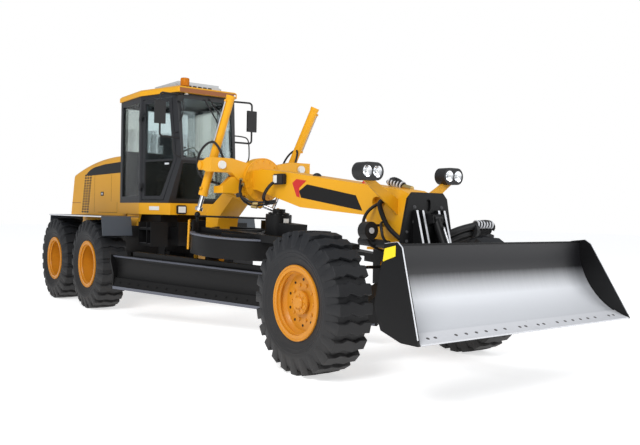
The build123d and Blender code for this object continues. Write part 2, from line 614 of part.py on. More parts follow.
with BuildPart() as lift_saddle:
    bar((PIVOT_X + SADDLE_X[0], 0, SADDLE_Z), (PIVOT_X + SADDLE_X[1], 0, SADDLE_Z), SADDLE_R)
    for hand, _ in both():
        # arm out to the yoke, the yoke's back and its two cheeks
        front([(hand * y, z) for y, z in ((180, 1740), (CHEEK_IN, 2010), (CHEEK_OUT, 2010),
                                          (CHEEK_OUT, 2190), (CHEEK_IN, 2190), (180, 2130))],
              PIVOT_X + SADDLE_X[0], PIVOT_X + SADDLE_X[1] - 20)
        for inner in (CHEEK_IN, CHEEK_OUT - CHEEK):
            y0, y1 = sorted((hand * inner, hand * (inner + CHEEK)))
            side([(PIVOT_X + TRUNNION[0] + x, TRUNNION[2] + z) for x, z in (
                (-60, -CHEEK_HALF_Z), (60, -CHEEK_HALF_Z), (SADDLE_X[0] - TRUNNION[0], -90),
                (SADDLE_X[0] - TRUNNION[0], 90), (60, CHEEK_HALF_Z), (-60, CHEEK_HALF_Z))], y0, y1)
        bar((PIVOT_X + TRUNNION[0], hand * CHEEK_IN, TRUNNION[2]),
            (PIVOT_X + TRUNNION[0], hand * CHEEK_OUT, TRUNNION[2]), RING_PIN_R + RUN, mode=Mode.SUBTRACT)
    # arm and ears for the centre-shift cylinder, on the right
    ear_in, ear_out = SHIFT_BASE[1] + SHIFT_EAR_ROUND, SHIFT_BASE[1] - SHIFT_EAR_ROUND
    ear_low, ear_high = SHIFT_BASE[2] - SHIFT_EAR_ROUND, SHIFT_BASE[2] + SHIFT_EAR_ROUND
    front([(-180, 1960), (-180, 1720), (ear_in, ear_low), (ear_out - 35, ear_low),
           (ear_out - 35, ear_high), (ear_in, 1960)], PIVOT_X + SADDLE_X[0],
          PIVOT_X + SADDLE_X[1] - 40)
    block(PIVOT_X + SHIFT_BASE[0] - SHIFT_EAR - SHIFT_EAR_WALL, PIVOT_X + SHIFT_BASE[0] - SHIFT_EAR,
          ear_out, ear_in, ear_low, ear_high)
    block(PIVOT_X + SHIFT_BASE[0] + SHIFT_EAR, PIVOT_X + SADDLE_X[0], ear_out, ear_in, ear_low,
          ear_high)
    block(PIVOT_X + SHIFT_BASE[0] - SHIFT_EAR - SHIFT_EAR_WALL, PIVOT_X + SADDLE_X[0], ear_out - 35,
          ear_out, ear_low, ear_high)
    add(main_frame.part, mode=Mode.SUBTRACT)
save(lift_saddle, "lift_saddle")

# ---------------------------------------------------------------- front axle
AXLE_HALF_X = 110
LEAN_PIN_R = 28
with BuildPart() as axle_beam:
    front([(-640, 430), (640, 430), (640, 535), (480, 640), (300, 740), (200, 800), (-200, 800),
           (-300, 740), (-480, 640), (-640, 535)], FRONT_X - AXLE_HALF_X, FRONT_X + AXLE_HALF_X)
    for hand, _ in both():
        y0, y1 = sorted((hand * 600, hand * KING_Y))
        block(FRONT_X - 55, FRONT_X + 55, y0, y1, LEAN_PIVOT_Z - 55, LEAN_PIVOT_Z + 55)
        bar((FRONT_X - 55, hand * KING_Y, LEAN_PIVOT_Z), (FRONT_X + 55, hand * KING_Y, LEAN_PIVOT_Z),
            55)
        bar((FRONT_X - 55, hand * KING_Y, LEAN_PIVOT_Z), (FRONT_X + 55, hand * KING_Y, LEAN_PIVOT_Z),
            LEAN_PIN_R + RUN, mode=Mode.SUBTRACT)
save(axle_beam, "axle_beam")

KNUCKLE_LOW = 640
KNUCKLE_HIGH = 800
KING_R = 24
YOKE_IN = 680                # upright beside the kingpin, inner and outer faces
YOKE_OUT = 735
LEAN_BAR_R = 16
ARM_REACH = 240              # steering arms, kingpin back to the rod's ball
ARM_Z = (650, 680)
ROD_Z = 715
ROD_BALL_R = 28
ROD_STUD_R = 14
ROD_NECK_R = 12              # the rod's thin ends, clear of the tilting studs

for hand, name in both():
    with BuildPart() as lean_yoke:
        king = sorted((hand * YOKE_OUT, hand * (KING_Y + 48)))
        # fork round the axle's eye, with its pin
        for x0 in (56, -90):
            block(FRONT_X + x0, FRONT_X + x0 + 34, *sorted((hand * (YOKE_OUT + 5), king[hand > 0])),
                  LEAN_PIVOT_Z - 50, 600)
        bar((FRONT_X - 90, hand * KING_Y, LEAN_PIVOT_Z), (FRONT_X + 90, hand * KING_Y, LEAN_PIVOT_Z),
            LEAN_PIN_R)
        # ears above and below the knuckle, the kingpin, and the upright beside it
        block(FRONT_X - 90, FRONT_X + 90, *king, 600, KNUCKLE_LOW - RUN)
        block(FRONT_X - 60, FRONT_X + 90, *king, KNUCKLE_HIGH + RUN, KNUCKLE_HIGH + 45)
        block(FRONT_X + 5, FRONT_X + 90, *sorted((hand * YOKE_IN, hand * YOKE_OUT)), 600,
              KNUCKLE_HIGH + 45)
        bar((FRONT_X, hand * KING_Y, 610), (FRONT_X, hand * KING_Y, KNUCKLE_HIGH + 40), KING_R)
        # post and ears for the lean bar
        front([(hand * YOKE_OUT, KNUCKLE_HIGH + 45), (hand * (KING_Y + 30), KNUCKLE_HIGH + 45),
               (hand * (KING_Y + 28), LEAN_BAR_Z - 32), (hand * (KING_Y - 28), LEAN_BAR_Z - 32),
               (hand * YOKE_OUT, LEAN_BAR_Z - 80)], FRONT_X - 45, FRONT_X + 45)
        for x0 in (-45, 17):
            block(FRONT_X + x0, FRONT_X + x0 + 28, *sorted((hand * (KING_Y - 28),
                                                            hand * (KING_Y + 28))),
                  LEAN_BAR_Z - 32, LEAN_BAR_Z + 28)
        bar((FRONT_X - 45, hand * KING_Y, LEAN_BAR_Z), (FRONT_X + 45, hand * KING_Y, LEAN_BAR_Z),
            LEAN_BAR_R)
    save(lean_yoke, f"lean_yoke_{name}")

    with BuildPart() as knuckle:
        bar((FRONT_X, hand * KING_Y, KNUCKLE_LOW), (FRONT_X, hand * KING_Y, KNUCKLE_HIGH), 50)
        bar((FRONT_X, hand * KING_Y, TYRE_R), (FRONT_X, hand * (FRONT_DISC_Y - DISC_WALL - RUN),
                                               TYRE_R), 34)
        bar((FRONT_X, hand * 900, TYRE_R), (FRONT_X, hand * (FRONT_DISC_Y - DISC_WALL - RUN),
                                            TYRE_R), 90)
        block(FRONT_X - ARM_REACH, FRONT_X, *sorted((hand * (KING_Y - 22), hand * (KING_Y + 22))),
              *ARM_Z)
        if hand > 0:
            bar((FRONT_X - ARM_REACH, KING_Y, ARM_Z[0]), (FRONT_X - ARM_REACH, KING_Y, ROD_Z), ROD_STUD_R)
            ball((FRONT_X - ARM_REACH, KING_Y, ROD_Z), ROD_BALL_R)
        bar((FRONT_X, hand * KING_Y, KNUCKLE_LOW), (FRONT_X, hand * KING_Y, KNUCKLE_HIGH),
            KING_R + RUN, mode=Mode.SUBTRACT)
    save(knuckle, f"knuckle_{name}")

with BuildPart() as lean_bar:
    bar((FRONT_X, -KING_Y, LEAN_BAR_Z), (FRONT_X, KING_Y, LEAN_BAR_Z), LEAN_BAR_R - 1)
    for hand, _ in both():
        bar((FRONT_X - 15, hand * KING_Y, LEAN_BAR_Z), (FRONT_X + 15, hand * KING_Y, LEAN_BAR_Z), 28)
    for hand, _ in both():
        bar((FRONT_X - 15, hand * KING_Y, LEAN_BAR_Z), (FRONT_X + 15, hand * KING_Y, LEAN_BAR_Z),
            LEAN_BAR_R + RUN, mode=Mode.SUBTRACT)
save(lean_bar, "lean_bar")

with BuildPart() as tie_rod_ball:
    bar((FRONT_X - ARM_REACH, -KING_Y, ARM_Z[1] + RUN), (FRONT_X - ARM_REACH, -KING_Y, ROD_Z), ROD_STUD_R)
    ball((FRONT_X - ARM_REACH, -KING_Y, ROD_Z), ROD_BALL_R)
save(tie_rod_ball, "tie_rod_ball")

with BuildPart() as tie_rod:
    bar((FRONT_X - ARM_REACH, -(KING_Y - 60), ROD_Z), (FRONT_X - ARM_REACH, KING_Y - 60, ROD_Z), 20)
    bar((FRONT_X - ARM_REACH, -(KING_Y - 10), ROD_Z), (FRONT_X - ARM_REACH, KING_Y - 10, ROD_Z), ROD_NECK_R)
    for hand, _ in both():
        ball((FRONT_X - ARM_REACH, hand * KING_Y, ROD_Z), ROD_BALL_R + RUN, mode=Mode.SUBTRACT)
save(tie_rod, "tie_rod")

# ---------------------------------------------------------------- drawbar and circle
TOOL_PITCH = 3.4             # degrees nose down
TOOL_YAW = 2.7               # degrees, rear swung to the right
TOOL = Plane(origin=(PIVOT_X + BALL_X, 0, BALL_Z),
             x_dir=(cos(radians(TOOL_PITCH)) * cos(radians(TOOL_YAW)),
                    cos(radians(TOOL_PITCH)) * sin(radians(TOOL_YAW)), -sin(radians(TOOL_PITCH))),
             z_dir=(sin(radians(TOOL_PITCH)) * cos(radians(TOOL_YAW)),
                    sin(radians(TOOL_PITCH)) * sin(radians(TOOL_YAW)), cos(radians(TOOL_PITCH))))
CIRCLE_BACK = 2336           # ball back to the circle's middle
CIRCLE_R = 790
CIRCLE_IN = 640
CIRCLE_DEEP = 230
CIRCLE = Plane(origin=at(TOOL, -CIRCLE_BACK, 0, 0), x_dir=TOOL.x_dir, z_dir=TOOL.z_dir)
BALL_R = 60
LIFT_PIN = (-2750, 590, 252)          # lift cylinders' lower balls, along the drawbar's axes
SHIFT_PIN = (-2456, 570, 300)         # centre-shift rod's ball
PIN_BALL_R = 38
RAIL_HIGH = 95

with BuildPart() as drawbar_ball:
    bar((PIVOT_X + BALL_X, 0, BALL_Z - BALL_PLATE + RUN), (PIVOT_X + BALL_X, 0,
                                                           BALL_Z + BALL_PLATE - RUN), 34)
    ball((PIVOT_X + BALL_X, 0, BALL_Z), BALL_R)
save(drawbar_ball, "drawbar_ball")


def disc(frame, radius, z0, z1, mode=Mode.ADD):
    """A round plate about a frame's own origin."""
    with BuildSketch(frame.offset(z0)) as ring:
        Circle(radius)
    extrude(to_extrude=ring.sketch, amount=z1 - z0, mode=mode)


with BuildPart() as drawbar:
    # socket and neck
    block(-110, 75, -88, 88, -45, 45, TOOL)
    slab([(-100, -80), (-100, 80), (-520, 150), (-520, -150)], 5, 45, TOOL)
    # bolted rim plate over the circle
    disc(CIRCLE, CIRCLE_R + 12, 0, 30)
    disc(CIRCLE, CIRCLE_IN - 90, 0, 30, mode=Mode.SUBTRACT)
    for hand, _ in both():
        # straight top rails from the neck to the lift brackets
        slab([(-440, hand * 60), (-440, hand * 150), (-2850, hand * 600), (-2850, hand * 500)],
             5, RAIL_HIGH, TOOL)
        # lift brackets
        block(-2850, -2690, *sorted((hand * 500, hand * 600)), 0, 180, TOOL)
        bar(at(TOOL, LIFT_PIN[0], hand * LIFT_PIN[1], 150), at(TOOL, LIFT_PIN[0], hand * LIFT_PIN[1],
                                                            LIFT_PIN[2]), 20)
        ball(at(TOOL, LIFT_PIN[0], hand * LIFT_PIN[1], LIFT_PIN[2]), PIN_BALL_R)
    # ribs across, columns: how far behind the ball, half length
    for back, reach in ((1700, 330), (2150, 440), (2560, 520)):
        block(-back - 40, -back + 40, -reach, reach, 0, 70, TOOL)
    # centre-shift bracket on the left
    block(SHIFT_PIN[0] - 50, SHIFT_PIN[0] + 50, 440, 620, 0, 230, TOOL)
    bar(at(TOOL, SHIFT_PIN[0], SHIFT_PIN[1], 200), at(TOOL, *SHIFT_PIN), 18)
    ball(at(TOOL, *SHIFT_PIN), PIN_BALL_R)
    # circle drive: gear case under a stepped cap, and its motor
    for radius, low, high in ((165, 0, 322), (135, 322, 345), (80, 345, 394)):
        disc(Plane(origin=at(TOOL, -1860, 60, 0), x_dir=TOOL.x_dir, z_dir=TOOL.z_dir), radius, low, high)
    block(-1710, -1390, -60, 150, 30, 235, TOOL)
    ball(at(TOOL, 0, 0, 0), BALL_R + RUN, mode=Mode.SUBTRACT)
    disc(TOOL, 50, -60, 60, mode=Mode.SUBTRACT)
save(drawbar, "drawbar")

with BuildPart() as circle:
    disc(CIRCLE, CIRCLE_R, -CIRCLE_DEEP, -RUN)
    disc(CIRCLE, CIRCLE_IN, -CIRCLE_DEEP, -RUN, mode=Mode.SUBTRACT)
save(circle, "circle")

# ---------------------------------------------------------------- moldboard
# The blade's own frame: X along the edge to its leading end, Y back, Z up.
BLADE_TURN = 25.4            # degrees from the drawbar's own line
BLADE = Plane(origin=CIRCLE.origin, z_dir=CIRCLE.z_dir,
              x_dir=CIRCLE.x_dir * cos(radians(BLADE_TURN)) + CIRCLE.y_dir * sin(radians(BLADE_TURN)))
EDGE_LEAD = 491              # cutting edge ahead of the circle's middle
EDGE_DROP = 838              # cutting edge below the circle's top
BLADE_REAR = -1854           # blade's ends along its edge
BLADE_LENGTH = 3830
BLADE_TOP = (-560, -368)     # y, z of the sheet's top
BLADE_BACK = (-415, -600)    # y, z where the sheet bows back furthest
SHEET = 20
TIP_PIN = (-270, -735)       # y, z of the pitch pivot
ARM_X = (620, 690)           # circle arms along the blade
CARRIER_X = (560, 612)

with BuildPart() as circle_arms:
    for hand, _ in both():
        front([(-305, -CIRCLE_DEEP - RUN), (-120, -CIRCLE_DEEP - RUN), (-210, TIP_PIN[1] - 55),
               (-306, TIP_PIN[1] - 55), (-330, TIP_PIN[1] + 60), (-290, -500)],
              *sorted((hand * ARM_X[0], hand * ARM_X[1])), BLADE)
        x0, x1 = sorted((hand * (CARRIER_X[0] - 25), hand * (ARM_X[1] + 20)))
        bar(at(BLADE, x0, *TIP_PIN), at(BLADE, x1, *TIP_PIN), 24)
save(circle_arms, "circle_arms")

with BuildPart() as blade_carrier:
    for hand, _ in both():
        front([(-378, -780), (-215, -780), (-215, -690), (-300, -560), (-350, -345), (-438, -345),
               (-438, -430), (-372, -560)], *sorted((hand * CARRIER_X[0], hand * CARRIER_X[1])),
              BLADE)
    for y0, y1, z0, z1 in ((-379.7, -330, -780, -690), (-439.7, -385, -430, -345)):
        block(-CARRIER_X[1], CARRIER_X[1], y0, y1, z0, z1, BLADE)
    bar(at(BLADE, -800, *TIP_PIN), at(BLADE, 800, *TIP_PIN), 24 + RUN, mode=Mode.SUBTRACT)
save(blade_carrier, "blade_carrier")

with BuildPart() as moldboard:
    x0, x1 = BLADE_REAR, BLADE_REAR + BLADE_LENGTH
    plane = Plane(origin=at(BLADE, x0, 0, 0), x_dir=BLADE.y_dir, z_dir=BLADE.x_dir)
    with BuildSketch(plane):
        with BuildLine():
            ThreePointArc((-EDGE_LEAD, -EDGE_DROP + 20), BLADE_BACK, BLADE_TOP)
            Line(BLADE_TOP, (BLADE_TOP[0] + SHEET, BLADE_TOP[1]))
            ThreePointArc((BLADE_TOP[0] + SHEET, BLADE_TOP[1]), (BLADE_BACK[0] + SHEET, BLADE_BACK[1]),
                          (-EDGE_LEAD + SHEET, -EDGE_DROP + 20))
            Line((-EDGE_LEAD + SHEET, -EDGE_DROP + 20), (-EDGE_LEAD, -EDGE_DROP + 20))
        make_face()
    extrude(amount=x1 - x0)
    # cutting edge, end bits and slide rails
    front([(-EDGE_LEAD - 18, -EDGE_DROP), (-EDGE_LEAD + 2, -EDGE_DROP), (-EDGE_LEAD + 2, -EDGE_DROP + 60),
           (-440, -EDGE_DROP + 150), (-462, -EDGE_DROP + 150)], x0, x1, BLADE)
    front([(-440, -305), (-440, -425), (-505, -425), (-520, -385), (-520, -305)], x0 + 350, x1 - 350,
          BLADE)
    front([(-380, -760), (-380, -710), (-440, -710), (-455, -760)], x0 + 350, x1 - 350, BLADE)
    for end in (x0, x1 - SHEET):
        front([(-EDGE_LEAD - 10, -EDGE_DROP), (-400, -EDGE_DROP + 20), (-380, -600), (-440, -368),
               (BLADE_TOP[0] - 5, BLADE_TOP[1]), (BLADE_TOP[0] - 5, -450), (-500, -640)],
              end, end + SHEET, BLADE)
save(moldboard, "moldboard")

# ---------------------------------------------------------------- cylinders
BARREL_R = 55
BARREL_BORE = 44             # the bore's radius
ROD_R = 30
BARREL_BELOW = 400           # trunnion down to the barrel's gland
BARREL_ABOVE = 930
FOOT_R = 50                  # collar at each rod's end
FOOT_DEEP = 40
# The rods' ends stand clear of the balls they push, so that no pose drives them in.
LIFT_SLACK = {"left": 33, "right": 22}
SHIFT_SLACK = 18

for hand, name in both():
    pin = at(TOOL, LIFT_PIN[0], hand * LIFT_PIN[1], LIFT_PIN[2])
    cross = Vector(PIVOT_X + TRUNNION[0], hand * TRUNNION[1], TRUNNION[2])
    up = (cross - pin).normalized()
    reach = (cross - pin).length

    with BuildPart() as lift_barrel:
        bar(cross - up * BARREL_BELOW, cross + up * BARREL_ABOVE, BARREL_R)
        bar(cross - up * (BARREL_BELOW + 1), cross + up * (BARREL_ABOVE - 40), BARREL_BORE,
            mode=Mode.SUBTRACT)
        # cross pins forward and back, which roll in the trunnion ring
        for ahead in (1, -1):
            foot = cross + Vector(ahead * (BARREL_BORE + 4), 0, 0)
            bar(foot, cross + Vector(ahead * 100, 0, 0), 20)
    save(lift_barrel, f"lift_barrel_{name}")

    with BuildPart() as trunnion:
        block(cross.X - 100, cross.X + 100, cross.Y - RING_HALF_Y, cross.Y + RING_HALF_Y,
              cross.Z - RING_HALF_Z, cross.Z + RING_HALF_Z)
        for way in (1, -1):
            bar((cross.X, cross.Y + way * (RING_HALF_Y - 5), cross.Z),
                (cross.X, cross.Y + way * (RING_HALF_Y + CHEEK + 14), cross.Z), RING_PIN_R)
        # the pin's cap, on the outer side
        bar((cross.X, cross.Y + hand * (RING_HALF_Y + CHEEK + 2), cross.Z),
            (cross.X, cross.Y + hand * (RING_HALF_Y + CHEEK + 20), cross.Z), RING_PIN_R + 26)
        block(cross.X - 74, cross.X + 74, cross.Y - RING_GAP_Y, cross.Y + RING_GAP_Y,
              cross.Z - RING_HALF_Z, cross.Z + RING_HALF_Z, mode=Mode.SUBTRACT)
        bar((cross.X - 120, cross.Y, cross.Z), (cross.X + 120, cross.Y, cross.Z), 20 + RUN,
            mode=Mode.SUBTRACT)
    save(trunnion, f"trunnion_{name}")

    with BuildPart() as lift_rod:
        foot = pin + up * (PIN_BALL_R + LIFT_SLACK[name])
        bar(foot, foot + up * FOOT_DEEP, FOOT_R)
        bar(foot, cross + up * 420, ROD_R)
        bar(cross + up * 380, cross + up * 420, BARREL_BORE - RUN)
    save(lift_rod, f"lift_rod_{name}")

shift_base = Vector(PIVOT_X + SHIFT_BASE[0], SHIFT_BASE[1], SHIFT_BASE[2])
shift_pin = at(TOOL, *SHIFT_PIN)
shift_dir = (shift_pin - shift_base).normalized()
shift_reach = (shift_pin - shift_base).length
SHIFT_BARREL = 640
SHIFT_R = 44
SHIFT_BORE = 35
SHIFT_ROD_R = 24
SHIFT_PIN_R = 20
SHIFT_TAIL = 240             # base pin to the piston's back face

with BuildPart() as shift_pin_bush:
    bar(shift_base - Vector(SHIFT_EAR - RUN, 0, 0), shift_base + Vector(SHIFT_EAR - RUN, 0, 0),
        SHIFT_PIN_R)
save(shift_pin_bush, "shift_pin")

with BuildPart() as shift_barrel:
    bar(shift_base - Vector(SHIFT_EAR - 10, 0, 0), shift_base + Vector(SHIFT_EAR - 10, 0, 0), SHIFT_R)
    bar(shift_base + shift_dir * 30, shift_base + shift_dir * SHIFT_BARREL, SHIFT_R)
    bar(shift_base + shift_dir * 90, shift_base + shift_dir * (SHIFT_BARREL + 1), SHIFT_BORE,
        mode=Mode.SUBTRACT)
    bar(shift_base - Vector(SHIFT_EAR, 0, 0), shift_base + Vector(SHIFT_EAR, 0, 0), SHIFT_PIN_R + RUN,
        mode=Mode.SUBTRACT)
save(shift_barrel, "shift_barrel")

with BuildPart() as shift_rod:
    foot = shift_pin - shift_dir * (PIN_BALL_R + SHIFT_SLACK)
    bar(shift_base + shift_dir * SHIFT_TAIL, foot, SHIFT_ROD_R)
    bar(shift_base + shift_dir * SHIFT_TAIL, shift_base + shift_dir * (SHIFT_TAIL + 40),
        SHIFT_BORE - RUN)
    bar(foot - shift_dir * FOOT_DEEP, foot, FOOT_R)
save(shift_rod, "shift_rod")

# ---------------------------------------------------------------- front lamps and mast
LAMP_X = (6330, 6470)        # twin-lensed housings, rear and front
LAMP_Y = 570
LAMP_Z = 1927
LAMP_LONG = 290
LAMP_HIGH = 176
LENS_OFF = 65
LENS_R = 58

with BuildPart() as head_lamps:
    for hand, _ in both():
        front([(hand * BEAM_HALF, 1560), (hand * BEAM_HALF, 1640), (hand * 545, 1850),
               (hand * 600, 1850)], PIVOT_X + 6380, PIVOT_X + 6395)
        oval((PIVOT_X + LAMP_X[0], hand * LAMP_Y, LAMP_Z), (0, 1, 0), (1, 0, 0), LAMP_LONG, LAMP_HIGH,
             LAMP_X[1] - LAMP_X[0])
        for lens_y in (LAMP_Y - LENS_OFF, LAMP_Y + LENS_OFF):
            bar((PIVOT_X + LAMP_X[1] - 14, hand * lens_y, LAMP_Z),
                (PIVOT_X + LAMP_X[1] + 5, hand * lens_y, LAMP_Z), LENS_R, mode=Mode.SUBTRACT)
save(head_lamps, "head_lamps")

MAST_X = 6630
MAST_WALL = 30
MAST_HALF = 355              # half width at its shoulder
MAST_WAIST = 318             # clear of the leaning, steered tyres
MAST_TOP_HALF = 270
MAST_TOP = 1735
MAST_LOW = 560
ARM_PIN = (6715, 620)        # dozer arm pivot, station and height
BLADE_PIN = (NOSE_REACH - 560, 750)   # dozer blade pivot
ARM_Y = 150
ARM_HALF = 27
ARM_ROUND = 48
ARM_PIN_R = 26
PLATE = 24
ARM_GAP = 1                  # from an arm to the ears beside it
MAST_PIN = (6770, 1480)      # dozer cylinder's upper pin
MAST_PIN_R = 20
CROSS_AT = 0.6               # the cross tube's place along the arms
CROSS_R = 30

with BuildPart() as dozer_mast:
    front([(-250, MAST_LOW), (250, MAST_LOW), (MAST_WAIST, 900), (MAST_WAIST, 1110),
           (MAST_HALF, 1230), (MAST_HALF, 1290),
           (MAST_TOP_HALF, MAST_TOP - 60), (MAST_TOP_HALF - 60, MAST_TOP),
           (-MAST_TOP_HALF + 60, MAST_TOP), (-MAST_TOP_HALF, MAST_TOP - 60), (-MAST_HALF, 1290),
           (-MAST_HALF, 1230), (-MAST_WAIST, 1110), (-MAST_WAIST, 900)], PIVOT_X + MAST_X, PIVOT_X + MAST_X + MAST_WALL)
    for centre, half, outline in (
            (ARM_Y, ARM_HALF, ((MAST_X, 1560), (MAST_X + 70, 1560), (6790, 1250), (6790, 700),
                               (6750, 560), (MAST_X, 560))),
            (-ARM_Y, ARM_HALF, ((MAST_X, 1560), (MAST_X + 70, 1560), (6790, 1250), (6790, 700),
                                (6750, 560), (MAST_X, 560))),
            (0, ARM_ROUND, ((MAST_X, 1540), (6800, 1520), (6800, 1440), (MAST_X, 1400)))):
        for low in (centre - half - ARM_GAP - PLATE, centre + half + ARM_GAP):
            side([(PIVOT_X + x, z) for x, z in outline], low, low + PLATE)
    # oval hole under the mast's top, pressed in
    oval((PIVOT_X + MAST_X + MAST_WALL, 0, 1610), (0, 0, 1), (-1, 0, 0), 120, 70, 20, mode=Mode.SUBTRACT)
    for centre in (-ARM_Y, ARM_Y):
        reach = ARM_HALF + ARM_GAP
        bar((PIVOT_X + ARM_PIN[0], centre - reach, ARM_PIN[1]),
            (PIVOT_X + ARM_PIN[0], centre + reach, ARM_PIN[1]), ARM_PIN_R)
    bar((PIVOT_X + MAST_PIN[0], -ARM_ROUND - ARM_GAP, MAST_PIN[1]),
        (PIVOT_X + MAST_PIN[0], ARM_ROUND + ARM_GAP, MAST_PIN[1]), MAST_PIN_R)
save(dozer_mast, "dozer_mast")

cross = Vector(PIVOT_X + ARM_PIN[0] + CROSS_AT * (BLADE_PIN[0] - ARM_PIN[0]), 0,
               ARM_PIN[1] + CROSS_AT * (BLADE_PIN[1] - ARM_PIN[1]))

with BuildPart() as dozer_arms:
    for centre in (-ARM_Y, ARM_Y):
        side([(PIVOT_X + ARM_PIN[0], ARM_PIN[1] - ARM_ROUND), (PIVOT_X + BLADE_PIN[0],
                                                              BLADE_PIN[1] - ARM_ROUND),
              (PIVOT_X + BLADE_PIN[0], BLADE_PIN[1] + ARM_ROUND),
              (PIVOT_X + ARM_PIN[0], ARM_PIN[1] + ARM_ROUND)], centre - ARM_HALF, centre + ARM_HALF)
        for x, z in (ARM_PIN, BLADE_PIN):
            bar((PIVOT_X + x, centre - ARM_HALF, z), (PIVOT_X + x, centre + ARM_HALF, z), ARM_ROUND)
        for x, z in (ARM_PIN, BLADE_PIN):
            bar((PIVOT_X + x, centre - ARM_HALF, z), (PIVOT_X + x, centre + ARM_HALF, z),
                ARM_PIN_R + RUN, mode=Mode.SUBTRACT)
    bar((cross.X, -ARM_Y, cross.Z), (cross.X, ARM_Y, cross.Z), CROSS_R)
save(dozer_arms, "dozer_arms")

PUSH_SLACK = 12
PUSH_R = 42
PUSH_BORE = 33
PUSH_BARREL = 560
PUSH_ROD_R = 22
PUSH_TAIL = 160
mast_pin = Vector(PIVOT_X + MAST_PIN[0], 0, MAST_PIN[1])
push_dir = (cross - mast_pin).normalized()

with BuildPart() as dozer_barrel:
    bar(mast_pin - Vector(0, ARM_ROUND, 0), mast_pin + Vector(0, ARM_ROUND, 0), PUSH_R)
    bar(mast_pin, mast_pin + push_dir * PUSH_BARREL, PUSH_R)
    bar(mast_pin + push_dir * 80, mast_pin + push_dir * (PUSH_BARREL + 1), PUSH_BORE,
        mode=Mode.SUBTRACT)
    bar(mast_pin - Vector(0, ARM_ROUND, 0), mast_pin + Vector(0, ARM_ROUND, 0), MAST_PIN_R + RUN,
        mode=Mode.SUBTRACT)
save(dozer_barrel, "dozer_barrel")

with BuildPart() as dozer_rod:
    foot = cross - push_dir * (CROSS_R + PUSH_SLACK)
    bar(mast_pin + push_dir * PUSH_TAIL, foot, PUSH_ROD_R)
    bar(mast_pin + push_dir * PUSH_TAIL, mast_pin + push_dir * (PUSH_TAIL + 40), PUSH_BORE - RUN)
    bar(foot - push_dir * FOOT_DEEP, foot, FOOT_R - 8)
save(dozer_rod, "dozer_rod")

DOZER_TOP = (NOSE_REACH - 450, 1283)  # station and height of the dozer's top edge
DOZER_EDGE = (NOSE_REACH, 557)
DOZER_BACK = (NOSE_REACH - 380, 833)  # where its face bows back furthest
DOZER_TOP_HALF = 1278
DOZER_LOW_HALF = 1440
DOZER_SHEET = 22

